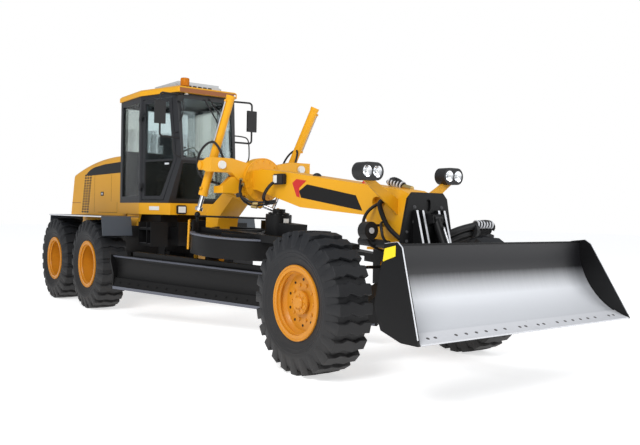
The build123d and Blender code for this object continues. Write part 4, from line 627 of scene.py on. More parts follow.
# %% [markdown]
# ## Tyres
#
# A grader tyre has deep bars that run right across the tread, each with a zigzag in its middle, and wrap
# over the shoulders onto the sidewall. The carcass is turned from a profile with a few moulded rings. One
# bar is modelled by sections across its width, and the ring tree copies it round. All six tyres are the
# same, and each stands on the middle of a bar.

# %% One tread bar
BARS = 24
BAR_HALF = 0.052             # half length of a bar round the tyre
BAR_SLOPE = 0.007            # how much longer a bar is at its foot, at each end
SHOULDER = 0.195             # beyond this, across the tyre, a bar lies on the sidewall
BAR_DEPTH, TREAD_FLOOR = 0.055, 0.628
# columns: across the tyre, tread radius, offset round the tyre, share of the bar's length
bar_sections = (
    (-0.2222, 0.512, 0.000, 0.80), (-0.2112, 0.560, 0.000, 0.92), (-0.1985, 0.625, 0.000, 0.98),
    (-0.1885, 0.670, 0.000, 1.00), (-0.1000, 0.674, 0.006, 1.00), (-0.0560, 0.675, -0.016, 1.00),
    (0.0000, 0.675, 0.006, 1.02), (0.0560, 0.675, 0.026, 1.00), (0.1000, 0.674, 0.002, 1.00),
    (0.1885, 0.670, 0.006, 1.00), (0.1985, 0.625, 0.006, 0.98), (0.2112, 0.560, 0.006, 0.92),
    (0.2222, 0.512, 0.006, 0.80))


def tread_bar():
    """One bar at the tyre's +X side, in the ring tree's frame, where the tyre's axis is Z."""
    work = bmesh.new()
    rows = []
    for across, radius, offset, share in bar_sections:
        reach = BAR_HALF * share
        on_side = abs(across) > SHOULDER
        foot = max(radius - BAR_DEPTH, 0.50) if on_side else TREAD_FLOOR
        inner = across * 0.93 if on_side else across
        row = []
        for spot, drop, deep in ((-reach - BAR_SLOPE, foot, inner), (-reach, radius, across),
                                 (reach, radius, across), (reach + BAR_SLOPE, foot, inner)):
            turn = (offset + spot) / TYRE_R
            row.append(work.verts.new((drop * cos(turn), drop * sin(turn), deep)))
        rows.append(row)
    for row, after in zip(rows, rows[1:]):
        for index in range(4):
            beside = (index + 1) % 4
            work.faces.new((row[index], row[beside], after[beside], after[index]))
    work.faces.new(rows[0])
    work.faces.new(reversed(rows[-1]))
    outward(work)
    edges = [edge for edge in work.edges if edge.calc_face_angle(0) > radians(40)]
    bmesh.ops.bevel(work, geom=edges, offset=0.004, segments=1, affect="EDGES", clamp_overlap=True)
    return mesh_of(work, "tread_bar")


# %% Carcass and six tyres
half_profile = ((0.000, 0.640), (0.120, 0.638), (0.172, 0.628), (0.190, 0.606), (0.202, 0.572),
                (0.212, 0.535), (0.2222, 0.503), (0.2215, 0.488), (0.2165, 0.474), (0.2180, 0.470),
                (0.2165, 0.464), (0.2110, 0.458), (0.2040, 0.436), (0.2062, 0.432), (0.2035, 0.424),
                (0.1985, 0.418), (0.1900, 0.393), (0.1800, 0.368), (0.1775, 0.359), (0.1775, 0.319))
carcass_profile = list(half_profile) + [(-y, radius) for y, radius in reversed(half_profile[1:])]
bar_shape = pattern_shape("tread_bar_shape", tread_bar())
wheel_rows = (("front", 6.219), ("middle", 0.769), ("rear", -0.769))
for row_name, row_station in wheel_rows:
    for hand, side_name in SIDES:
        centre = station(row_station, hand * HALF_TRACK, TYRE_R)
        carcass = mesh_of(lathe(carcass_profile), "carcass")
        bar_inputs = {"Shape": bar_shape, "Count": BARS, "Radius": 0.0, "Material": rubber}
        bars = grow(ring_tree, "bars", bar_inputs)
        # the ring tree turns about Z, and a wheel about Y; the two sides lead the same way
        bars.transform(Matrix.Rotation(hand * -pi / 2, 4, "X"))
        tyre_mesh = joined("tyre", [carcass, bars])
        tyre_mesh.transform(Matrix.Translation(centre))
        tyre = piece(f"tread_{row_name}_{side_name}", tyre_mesh, f"wheel_{row_name}_{side_name}", rubber)
        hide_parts(f"tyre_{row_name}_{side_name}")
print("tyre faces", len(tyre_mesh.polygons))
tell("tyre")

# %% [markdown]
# ## Small shapes
#
# Most details are a few kinds of shape: round bars, eased blocks, flat cut plates, turned rings and bent
# hoses. Each has a maker here that takes stations and heights and gives back a mesh, and meshes of one
# finish on one body are joined into one piece. A hose follows a NURBS curve along its route and is swept
# with a ring, which is plain for rubber and ribbed for sleeved hose.


# %% Shape makers
def rod(start, end, radius, end_radius=None, steps=20, by_station=True):
    """A closed round bar or cone between two points, which are stations unless they are placed already."""
    start, end = (station(*start), station(*end)) if by_station else (Vector(start), Vector(end))
    run = end - start
    work = bmesh.new()
    bmesh.ops.create_cone(work, cap_ends=True, segments=steps, radius1=radius,
                          radius2=radius if end_radius is None else end_radius, depth=run.length,
                          matrix=facing((start + end) / 2, run))
    return mesh_of(work, "rod")


def block(low, high, ease=0.004, by_station=True):
    """A block with eased edges between two corners, which are stations unless they are placed already."""
    work = bmesh.new()
    bmesh.ops.create_cube(work, size=1)
    for vert in work.verts:
        vert.co = Vector([a + (part + 0.5) * (b - a) for part, a, b in zip(vert.co, low, high)])
        if by_station:
            vert.co.x += TANDEM_X
    if ease:
        bmesh.ops.bevel(work, geom=work.edges[:], offset=ease, segments=2, affect="EDGES", clamp_overlap=True)
    return mesh_of(work, "block")


def cut_plate(corners, thickness, away):
    """A flat outline of points, thickened along a direction."""
    shift = Vector(away).normalized() * thickness
    work = bmesh.new()
    near = [work.verts.new(corner) for corner in corners]
    far = [work.verts.new(Vector(corner) + shift) for corner in corners]
    work.faces.new(near)
    work.faces.new(reversed(far))
    for index in range(len(near)):
        after = (index + 1) % len(near)
        work.faces.new((near[index], near[after], far[after], far[index]))
    outward(work)
    return mesh_of(work, "cut_plate")


def turned(profile, centre, axis, steps=48):
    """A ring turned about an axis from a profile of (along, radius) points."""
    mesh = mesh_of(lathe(profile, steps), "turned")
    mesh.transform(facing(centre, axis) @ Matrix.Rotation(pi / 2, 4, "X"))
    return mesh


def smooth_path(points):
    """Points close together on a smooth curve through a hose's route."""
    curve = bpy.data.curves.new("route", "CURVE")
    curve.dimensions = "3D"
    curve.resolution_u = 8
    spline = curve.splines.new("NURBS")
    spline.points.add(len(points) - 1)
    for spot, point in zip(spline.points, points):
        spot.co = (*station(*point), 1)
    spline.order_u = 3
    spline.use_endpoint_u = True
    holder = bpy.data.objects.new("route", curve)
    scene.collection.objects.link(holder)
    mesh = bpy.data.meshes.new_from_object(holder.evaluated_get(bpy.context.evaluated_depsgraph_get()))
    path = [vert.co.copy() for vert in mesh.vertices]
    bpy.data.objects.remove(holder)
    bpy.data.meshes.remove(mesh)
    return path


def sweep(path, radii, steps=12):
    """A closed tube along a path, with a radius at each of its points."""
    work = bmesh.new()
    across = Vector((0.31, 0.2, 0.93))
    rings = []
    for index, (point, radius) in enumerate(zip(path, radii)):
        along = (path[min(index + 1, len(path) - 1)] - path[max(index - 1, 0)]).normalized()
        across = (across - along * across.dot(along)).normalized()
        third = along.cross(across)
        rings.append([work.verts.new(point + radius * (cos(turn) * across + sin(turn) * third))
                      for turn in (2 * pi * step / steps for step in range(steps))])
    for ring, following in zip(rings, rings[1:]):
        for index in range(steps):
            after = (index + 1) % steps
            work.faces.new((ring[index], ring[after], following[after], following[index]))
    work.faces.new(rings[0])
    work.faces.new(reversed(rings[-1]))
    outward(work)
    return mesh_of(work, "tube")


def hose(points, radius, steps=12):
    """A smooth rubber hose along a route."""
    path = smooth_path(points)
    return sweep(path, [radius] * len(path), steps)


def ribbed_hose(points, radius, pitch=0.016):
    """A hose in a ribbed sleeve: the path is divided evenly and every other point stands proud."""
    path = smooth_path(points)
    even = [path[0]]
    for before, after in zip(path, path[1:]):
        cuts = int((after - before).length / (pitch / 2))
        for cut in range(cuts):
            even.append(before.lerp(after, (cut + 1) / (cuts + 1)))
        even.append(after)
    return sweep(even, [radius * (1.0 if index % 2 else 0.82) for index in range(len(even))])


def put(name, body, material, meshes):
    """One piece from meshes of one finish on one body."""
    return piece(name, joined(name, meshes), body, material)


def bolt_ring(centre, axis, radius, count, size, material):
    """A ring of bolts standing off a face."""
    return grow(ring_tree, "bolts", {"Shape": bolt_shapes[size], "Count": count, "Radius": radius,
                                     "Material": material}, facing(centre, axis))


def bolt_row(start, axis, step, count, size, material):
    """A row of bolts standing off a face, each a step from the last in the face's own directions."""
    return grow(row_tree, "bolts", {"Shape": bolt_shapes[size], "Count": count, "Step": step,
                                    "Material": material}, facing(start, axis))


# bolts are named by their head's radius in millimetres
bolt_shapes = {size: pattern_shape(f"bolt_{size}", hex_bolt(size / 1000, size * 0.7 / 1000))
               for size in (9, 12, 15)}
print("bolt sizes", sorted(bolt_shapes))

# %% [markdown]
# ## Rims
#
# Each rim is rolled steel with a bright outer flange, a second step inside it and a deep dish down to the
# disc. The front discs stand well forward and carry the hub's cap inside a circle of ten studs; the rear
# ones lie deep inside. The rings are turned from short profiles and the studs come from the ring tree.

# %% Rim rings and studs
STUDS = 10
# columns: row, station, disc's outer face, stud circle's radius, hub radius, hub end
rim_rows = (("front", 6.219, 1.180, 0.168, 0.095, 1.225), ("middle", 0.769, 0.986, 0.190, 0.120, 1.070),
            ("rear", -0.769, 0.986, 0.190, 0.120, 1.070))
for row_name, row_station, disc_y, stud_r, hub_r, hub_y in rim_rows:
    for hand, side_name in SIDES:
        axis = (0, hand, 0)
        centre = station(row_station, 0, TYRE_R)
        rings = [turned(profile, centre, axis, 72) for profile in (
            ((1.276, 0.352), (1.284, 0.352), (1.288, 0.346), (1.284, 0.334), (1.276, 0.332)),
            ((1.252, 0.302), (1.262, 0.302), (1.262, 0.288), (1.246, 0.280), (1.238, 0.302)),
            ((disc_y - 0.004, 0.302), (disc_y + 0.030, 0.302),
             (disc_y + 0.004, 0.266), (disc_y - 0.004, 0.262)),
            ((hub_y - 0.020, hub_r + 0.016), (hub_y - 0.004, hub_r + 0.014), (hub_y - 0.004, hub_r - 0.004),
             (hub_y - 0.020, hub_r - 0.004)),
            ((hub_y - 0.006, 0.002), (hub_y + 0.022, 0.002), (hub_y + 0.022, hub_r * 0.50),
             (hub_y + 0.012, hub_r * 0.60), (hub_y - 0.006, hub_r * 0.60)))]
        face = centre + Vector((0, hand * disc_y, 0))
        rings.append(bolt_ring(face, axis, stud_r, STUDS, 15, rim_yellow))
        rings.append(bolt_ring(centre + Vector((0, hand * hub_y, 0)), axis, hub_r * 0.80, 8, 9, rim_yellow))
        wheel = f"wheel_{row_name}_{side_name}"
        put(f"rim_trim_{row_name}_{side_name}", wheel, rim_yellow, rings)
        # black discs between the studs stand for the shade inside the disc's holes: painted shade
        hole_shades = []
        for hole in range(STUDS):
            turn = 2 * pi * (hole + 0.5) / STUDS
            across = face + (stud_r + 0.048) * Vector((cos(turn), 0, sin(turn)))
            hole_shades.append(rod(across - Vector((0, hand * 0.004, 0)), across + Vector((0, hand * 0.003, 0)),
                             0.013, by_station=False, steps=14))
        put(f"rim_holes_{row_name}_{side_name}", wheel, black, hole_shades)
tell("rim")

# %% [markdown]
# ## Dozer blade
#
# The dozer's face is painted black but wears to bright steel where earth rolls up it, so it fades from dark
# at its top to silver below, with fine upright scratches. The fade is partly that wear and partly painted
# reflection. It is a ramp on height mixed with stretched noise. A skin a little in front of the solid carries
# it, cut to the flare of the end plates. Below it lies a bolted cutting edge in two pieces.

# %% Dozer face finish
dozer_face = finish("dozer_face_wear_and_reflection", (0.02, 0.02, 0.022), 0.40, metallic=0.15, dust=0.0)
face_tree = dozer_face.node_tree
face_place = face_tree.nodes.new("ShaderNodeTexCoord").outputs["Object"]
face_split = face_tree.nodes.new("ShaderNodeSeparateXYZ")
face_tree.links.new(face_place, face_split.inputs[0])
stretch = face_tree.nodes.new("ShaderNodeVectorMath")
stretch.operation = "MULTIPLY"
stretch.inputs[1].default_value = (1.0, 60.0, 1.5)
face_tree.links.new(face_place, stretch.inputs[0])
scratches = noise_node(face_tree, stretch.outputs[0], 1.0, 5.0)
# the face turns silver a fade's length below the silver height: partly worn paint, partly painted reflection
SILVER_HEIGHT, SILVER_FADE = 1.03, 0.20
silver_height = math_node(face_tree, "ADD", math_node(face_tree, "MULTIPLY", scratches, 0.018), SILVER_HEIGHT)
below_silver = math_node(face_tree, "SUBTRACT", silver_height, face_split.outputs["Z"])
wear_and_reflection = math_node(face_tree, "DIVIDE", below_silver, SILVER_FADE, clamp=True)
face_colors = face_tree.nodes.new("ShaderNodeMix")
face_colors.data_type = "RGBA"
face_colors.inputs["A"].default_value = (0.012, 0.012, 0.014, 1)
face_colors.inputs["B"].default_value = (0.60, 0.615, 0.645, 1)
face_tree.links.new(wear_and_reflection, face_colors.inputs["Factor"])
face_tree.links.new(face_colors.outputs["Result"], face_tree.nodes["Principled BSDF"].inputs["Base Color"])
print("finish", dozer_face.name)

# %% Dozer skin, edge and bolts
DOZER_TOP, DOZER_BACK, DOZER_EDGE = (7.530, 1.283), (7.600, 0.833), (7.980, 0.557)


def arc_points(first, middle, last, count):
    """Points on the arc through three points of a side view, each with its outward direction."""
    (ax, az), (bx, bz), (cx, cz) = first, middle, last
    twice = 2 * (ax * (bz - cz) + bx * (cz - az) + cx * (az - bz))
    ux = ((ax**2 + az**2) * (bz - cz) + (bx**2 + bz**2) * (cz - az) + (cx**2 + cz**2) * (az - bz)) / twice
    uz = ((ax**2 + az**2) * (cx - bx) + (bx**2 + bz**2) * (ax - cx) + (cx**2 + cz**2) * (bx - ax)) / twice
    radius = hypot(ax - ux, az - uz)
    middle_turn = atan2(bz - uz, bx - ux)
    # both ends are counted from the middle point, so that the arc never runs the long way round
    from_turn, to_turn = (middle_turn + (atan2(z - uz, x - ux) - middle_turn + pi) % (2 * pi) - pi
                          for x, z in (first, last))
    made = []
    for index in range(count):
        turn = from_turn + (to_turn - from_turn) * index / (count - 1)
        made.append(((ux + radius * cos(turn), uz + radius * sin(turn)), (-cos(turn), -sin(turn))))
    return made


def flare_y(height):
    """Half the dozer's width at a height, out to its end plates' outer faces."""
    return 1.278 + (1.310 - height) * (1.440 - 1.278) / (1.310 - 0.540)


def curved_skin(arc, half_at, proud, thickness):
    """A thin sheet over an arc's face: half_at gives its half width at a height."""
    work = bmesh.new()
    rows = []
    for (x, z), (out_x, out_z) in arc:
        row = []
        for depth in (proud, proud + thickness):
            for hand in (1, -1):
                row.append(work.verts.new(station(x + out_x * depth, hand * half_at(z), z + out_z * depth)))
        rows.append((row[0], row[1], row[3], row[2]))
    for row, after in zip(rows, rows[1:]):
        for index in range(4):
            beside = (index + 1) % 4
            work.faces.new((row[index], row[beside], after[beside], after[index]))
    work.faces.new(rows[0])
    work.faces.new(reversed(rows[-1]))
    outward(work)
    return mesh_of(work, "skin")


def inner_half(height):
    """Half the dozer's width at a height, between its end plates."""
    return flare_y(height) - 0.026


def edge_half(height):
    """Half the width of one of the cutting edge's two pieces, with a seam left between them."""
    return inner_half(height) / 2 - 0.002


dozer_arc = arc_points(DOZER_TOP, DOZER_BACK, DOZER_EDGE, 60)
put("dozer_face", "dozer", dozer_face,
    [curved_skin(dozer_arc[1:52], inner_half, 0.001, 0.002)])
EDGE_PROUD = 0.012
edge_parts, edge_bolts = [], []
half_edge = curved_skin(dozer_arc[49:], edge_half, 0.001, EDGE_PROUD)
for hand in (1, -1):
    moved = half_edge.copy()
    moved.transform(Matrix.Translation((0, hand * (inner_half(0.60) / 2), 0)))
    edge_parts.append(moved)
bpy.data.meshes.remove(half_edge)
put("dozer_cutting_edge", "dozer", bright_metal_and_highlight, edge_parts)
(bolt_x, bolt_z), bolt_out = dozer_arc[54]
# pairs of bolts at each end of a piece, and six between them
bolt_spots = [0.085, 0.165] + [0.36 + 0.118 * index for index in range(6)] + [1.18, 1.26]
for hand in (1, -1):
    for spot in bolt_spots:
        foot = Vector((bolt_x + bolt_out[0] * EDGE_PROUD, hand * spot, bolt_z + bolt_out[1] * EDGE_PROUD))
        head_top = foot + Vector((bolt_out[0], 0, bolt_out[1])) * 0.004
        edge_bolts.append(rod(foot, head_top, 0.016, 0.013, steps=14))
put("dozer_edge_bolts", "dozer", iron, edge_bolts)
tell("dozer skin and edge")

# %% Dozer end plates
plate_edges = []
# columns: station and height of the end plate's front line, from its top to the cutting edge
end_line = ((7.440, 1.283), (7.580, 1.300), (7.640, 1.260), (7.965, 0.600))
for hand in (1, -1):
    for (x0, z0), (x1, z1) in zip(end_line, end_line[1:]):
        corner_rows = ((x0, z0, 0.001), (x1, z1, 0.001), (x1, z1, -0.011), (x0, z0, -0.011))
        corners = [station(x, hand * (flare_y(z) + side_step), z) for x, z, side_step in corner_rows]
        plate_edges.append(cut_plate(corners, 0.002, ((z0 - z1), 0, (x1 - x0))))
put("dozer_end_edges", "dozer", bright_metal_and_highlight, plate_edges)
plate_outline = ((7.452, 1.243), (7.571, 1.272), (7.588, 1.189), (7.456, 1.142))
plate_corners = [station(x, -(flare_y(z) + 0.001), z) for x, z in plate_outline]
put("dozer_yellow_plate", "dozer", plate_yellow,
    [cut_plate(plate_corners, 0.003, (0, -1, 0.2))])
tell("dozer end")

# %% [markdown]
# ## Moldboard, circle and drive
#
# The moldboard and the circle are tilted and turned with the drawbar, so their details are made along their
# own axes and moved by the same frames as the solids. A slide strip runs along the moldboard's top, its
# lower edge is bolted on, and the circle's rim plate is worn grey under a ring of bolts. The drawbar has
# ribs, yellow plates at its lift brackets, and the bolted drive with a link and a blank label.

# %% Tool frames
TOOL_PITCH, TOOL_YAW, BLADE_TURN = radians(3.4), radians(2.7), radians(25.4)
tool_x = Vector((cos(TOOL_PITCH) * cos(TOOL_YAW), cos(TOOL_PITCH) * sin(TOOL_YAW), -sin(TOOL_PITCH)))
tool_z = Vector((sin(TOOL_PITCH) * cos(TOOL_YAW), sin(TOOL_PITCH) * sin(TOOL_YAW), cos(TOOL_PITCH)))
BALL = station(5.930, 0, 1.052)
CIRCLE_BACK = 2.336          # the circle's middle behind the ball
LIFT_PIN = Vector((-2.750, 0.590, 0.252))
tool_axes = Matrix((tool_x, tool_z.cross(tool_x), tool_z)).transposed().to_4x4()
tool_frame = Matrix.Translation(BALL) @ tool_axes
circle_frame = tool_frame @ Matrix.Translation((-CIRCLE_BACK, 0, 0))
blade_frame = circle_frame @ Matrix.Rotation(BLADE_TURN, 4, "Z")
print("circle's middle", [round(value, 3) for value in circle_frame.translation])


def framed(meshes, matrix):
    """Meshes made along a frame's own axes, moved to where the frame is."""
    for mesh in meshes:
        mesh.transform(matrix)
    return meshes


# %% Moldboard strip, edge and bolts
BLADE_FROM, BLADE_TO = -1.854, 1.976
board_arc = arc_points((-0.560, -0.368), (-0.415, -0.600), (-0.491, -0.818), 40)


def board_strip(first, last, x0, x1, proud, thickness):
    """A strip along the moldboard's face between two places on its arc."""
    work = bmesh.new()
    rows = []
    for (y, z), (out_y, out_z) in board_arc[first:last]:
        section = ((x0, proud), (x1, proud), (x1, proud + thickness), (x0, proud + thickness))
        rows.append([work.verts.new((x, y + out_y * depth, z + out_z * depth)) for x, depth in section])
    for row, after in zip(rows, rows[1:]):
        for index in range(4):
            beside = (index + 1) % 4
            work.faces.new((row[index], row[beside], after[beside], after[index]))
    work.faces.new(rows[0])
    work.faces.new(reversed(rows[-1]))
    outward(work)
    return mesh_of(work, "strip")


put("moldboard_top_strip", "blade", ring_grey, framed([
    board_strip(1, 5, BLADE_FROM + 0.04, BLADE_TO - 0.04, 0.001, 0.004)], blade_frame))
edge_low = block((BLADE_FROM + 0.022, -0.515, -0.838), (BLADE_TO - 0.022, -0.509, -0.800), 0.001,
                 by_station=False)
put("moldboard_worn_edge", "blade", ring_grey, framed([edge_low], blade_frame))
row_bolts = bolt_row((BLADE_FROM + 0.12, -0.492, -0.745), (0, -1, 0.25), (0.1525, 0, 0), 25, 9, black)
put("moldboard_bolts", "blade", black, framed([row_bolts], blade_frame))
tell("moldboard")

# %% Circle rim, ribs and brackets
# height and radius round the worn rim's section
rim_section = ((0.0295, 0.735), (0.033, 0.738), (0.033, 0.799),
               (0.0295, 0.8035), (0.012, 0.8035), (0.012, 0.735))
put("circle_rim_wear", "drawbar", ring_grey, framed([
    turned(rim_section, (0, 0, 0), (0, 0, 1), 120)], circle_frame))
put("circle_rim_bolts", "drawbar", iron, framed(
    [bolt_ring((0, 0, 0.032), (0, 0, 1), 0.770, 32, 9, iron)], circle_frame))
# columns: rib's start and end back from the ball and across, its half width
rib_rows = ((1.72, 0.31, 2.10, 0.02), (1.72, 0.31, 2.12, 0.60), (2.16, 0.05, 2.62, 0.50),
            (2.62, 0.50, 3.02, 0.10))
ribs = []
for start_back, start_y, end_back, end_y in rib_rows:
    for hand in (1, -1):
        start = Vector((-start_back, hand * start_y, 0.03))
        end = Vector((-end_back, hand * end_y, 0.03))
        beside = (end - start).normalized().cross(Vector((0, 0, 1))) * 0.028
        ribs.append(cut_plate([start - beside, start + beside, end + beside, end - beside], 0.045, (0, 0, 1)))
put("drawbar_ribs", "drawbar", black, framed(ribs, tool_frame))
# the lift brackets' outer plates stand just outside the rim plate, level with the lift pins
bracket_turn = atan2(LIFT_PIN.y, LIFT_PIN.x + CIRCLE_BACK)
brackets = []
for hand in (1, -1):
    outer_plate = block((0.806, -0.075, -0.200), (0.830, 0.075, 0.185), 0.006, by_station=False)
    outer_plate.transform(Matrix.Rotation(hand * bracket_turn, 4, "Z"))
    brackets.append(outer_plate)
put("lift_bracket_plates", "drawbar", yellow, framed(brackets, circle_frame))
tell("circle and drawbar")

# %% Circle drive
drive_x, drive_y = -1.860, 0.060
# columns: height, radius, number of bolts
drive_rings = [bolt_ring((drive_x, drive_y, height), (0, 0, 1), radius, count, 9, iron)
               for height, radius, count in ((0.322, 0.150, 10), (0.345, 0.108, 8))]
put("drive_bolts", "drawbar", iron, framed(drive_rings, tool_frame))
link = rod((-2.700, -0.590, 0.235), (drive_x - 0.150, drive_y - 0.040, 0.262), 0.012, by_station=False)
put("drive_link", "drawbar", black, framed([link], tool_frame))
label = block((drive_x + 0.162, drive_y - 0.045, 0.225), (drive_x + 0.168, drive_y + 0.035, 0.285), 0.001,
              by_station=False)
put("drive_label", "drawbar", white_paint, framed([label], tool_frame))
tell("circle drive")

# %% [markdown]
# ## Lift saddle, beam and front lamps
#
# The saddle carries the lift cylinders. Its pins end in white caps, and its round cover has two turned
# rings, a ring of bolts and a boss with a red and white spot. The beam wears a blank black band with a red
# arrow at its rear end. Both are thin plates, so that they have a real edge, and both sides wear the same.

# %% Saddle and beam details
saddle_caps = [rod((3.655, hand * 0.615, 2.10), (3.690, hand * 0.615, 2.10), 0.055, 0.050)
               for hand in (1, -1)]
put("saddle_pin_caps", "front", white_paint, saddle_caps)
# columns: the ring's front, inner and outer radius, ahead of station 3
ring_rows = ((0.683, 0.222, 0.234), (0.686, 0.276, 0.288))
saddle_rings = [
    turned(((0.678, near), (front, near), (front, far), (0.678, far)), station(3.0, 0, 1.930), (1, 0, 0), 72)
    for front, near, far in ring_rows]
BOSS_Y, BOSS_Z = -0.119, 1.899
saddle_rings.append(rod((3.674, BOSS_Y, BOSS_Z), (3.690, BOSS_Y, BOSS_Z), 0.073, 0.069, 32))
saddle_rings.append(bolt_ring(station(3.680, 0, 1.930), (1, 0, 0), 0.255, 16, 12, yellow))
put("saddle_rings", "front", yellow, saddle_rings)
# columns: name, finish, slot, station of its back and face, radius
spot_rows = (("saddle_spot", red_paint, "paint_black", 3.688, 3.694, 0.032),
             ("saddle_spot_middle", white_paint, "steel", 3.692, 3.697, 0.015))
for name, material, slot, back, face, radius in spot_rows:
    put(name, "front", material, [rod((back, BOSS_Y, BOSS_Z), (face, BOSS_Y, BOSS_Z), radius)])

# columns: name, finish, slot, outline in stations and heights
beam_marks = (
    ("beam_band", black, "paint_black",
     ((4.862, 1.848), (5.745, 1.712), (5.855, 1.549), (4.746, 1.693), (4.706, 1.772))),
    ("beam_arrow", red_paint, "paint_black",
     ((4.563, 1.871), (4.647, 1.915), (4.849, 1.892), (4.703, 1.805), (4.721, 1.693), (4.654, 1.708))))
for name, material, slot, outline in beam_marks:
    put(name, "front", material, [
        cut_plate([station(x, hand * 0.160, z) for x, z in outline], 0.002, (0, hand, 0))
        for hand in (1, -1)])


def dome(centre, radius, squash=1.0):
    """Half a ball standing on a point."""
    work = bmesh.new()
    bmesh.ops.create_uvsphere(work, u_segments=20, v_segments=10, radius=radius)
    for vert in work.verts:
        vert.co.z = max(vert.co.z, 0) * squash
        vert.co += station(*centre)
    bmesh.ops.remove_doubles(work, verts=work.verts, dist=1e-5)
    outward(work)
    return mesh_of(work, "dome")


put("beam_black_dome", "front", plastic, [dome((4.84, 0, 1.945), 0.055, 0.8)])
put("beam_red_dome", "front", red_paint, [dome((5.72, 0, 1.842), 0.045)])
put("beam_lamp_box", "front", plastic,
    [block((4.224, -0.225, 1.855), (4.445, -0.158, 1.985), 0.012)])
put("beam_lamp_lens", "front", white_paint,
    [block((4.245, -0.229, 1.872), (4.325, -0.222, 1.968), 0.004)])

# columns: stations and heights of the black plates on the neck, which leave the lean bar's window free
bracket_rows = ((6.046, 6.157, 0.797, 1.150), (6.281, 6.454, 0.797, 1.150),
                (6.157, 6.281, 0.797, 0.918), (6.157, 6.281, 1.032, 1.150))
NECK_Y, BRACKET_Y = 0.157, 0.166
neck_plates = []
for x0, x1, z0, z1 in bracket_rows:
    for hand in (1, -1):
        low_y, high_y = sorted((hand * NECK_Y, hand * BRACKET_Y))
        neck_plates.append(block((x0, low_y, z0), (x1, high_y, z1), 0.0))
neck_plates.append(block((6.448, -BRACKET_Y, 0.797), (6.456, BRACKET_Y, 1.150), 0.0))
put("axle_bracket", "front", black, neck_plates)
tell("saddle and beam")

# %% Head lamps
LAMP_Z = 1.927
lamp_spots = [hand * (0.570 + way * 0.065) for hand in (1, -1) for way in (1, -1)]
put("lamp_lenses", "front", lens, [
    rod((6.457, y, LAMP_Z), (6.474, y, LAMP_Z), 0.054, 0.040, 28) for y in lamp_spots])
put("lamp_bowls", "front", chrome, [
    turned(((3.456, 0.057), (3.472, 0.057), (3.457, 0.020), (3.456, 0.004)),
           station(3.0, y, LAMP_Z), (1, 0, 0), 28)
    for y in lamp_spots])
put("lamp_bulbs", "front", white_paint, [
    rod((6.456, y, LAMP_Z), (6.468, y, LAMP_Z), 0.014) for y in lamp_spots])
# across and height of the plate in front of each lamp's arm
arm_outline = ((0.158, 1.510), (0.158, 1.665), (0.500, 1.862), (0.640, 1.862))
put("lamp_arms", "front", yellow, [
    cut_plate([station(6.376, hand * y, z) for y, z in arm_outline], 0.023, (1, 0, 0)) for hand in (1, -1)])
tell("head lamp")

# %% [markdown]
# ## Mast and hoses
#
# The mast's plate is bolted to the beam's nose, and its gussets have light strips along their front edges.
# Hydraulic hoses loop beside the saddle's cylinders, run down the beam and its neck, and cross to the mast.
# They are fixed at both ends, so each is a plain swept tube with its route in a table, not a free cord. All
# of them ride on the front frame.

# %% Mast bolts and edges
# columns: across and height of the first bolt, the step to the next, size
mast_rows = ((0.188, 1.447, 0.143, 15), (0.285, 1.260, 0.090, 12))
mast_bolts = [bolt_row(station(6.660, hand * y, z), (1, 0, 0), (0, step, 0), 2, size, iron)
              for y, z, step, size in mast_rows for hand in (1, -1)]
put("mast_bolts", "front", iron, mast_bolts)
gusset_edges = []
# station and height along a gusset's front edge, from its top down
gusset_line = ((6.700, 1.560), (6.790, 1.250), (6.790, 0.860))
for middle in (-0.190, -0.110, 0.110, 0.190):
    for (x0, z0), (x1, z1) in zip(gusset_line, gusset_line[1:]):
        corners = [station(x, middle + way * 0.012, z)
                   for x, z, way in ((x0, z0, 1), (x1, z1, 1), (x1, z1, -1), (x0, z0, -1))]
        gusset_edges.append(cut_plate(corners, 0.002, (z0 - z1, 0, x1 - x0)))
put("mast_gusset_edges", "front", bright_metal_and_highlight, gusset_edges)
tell("mast")

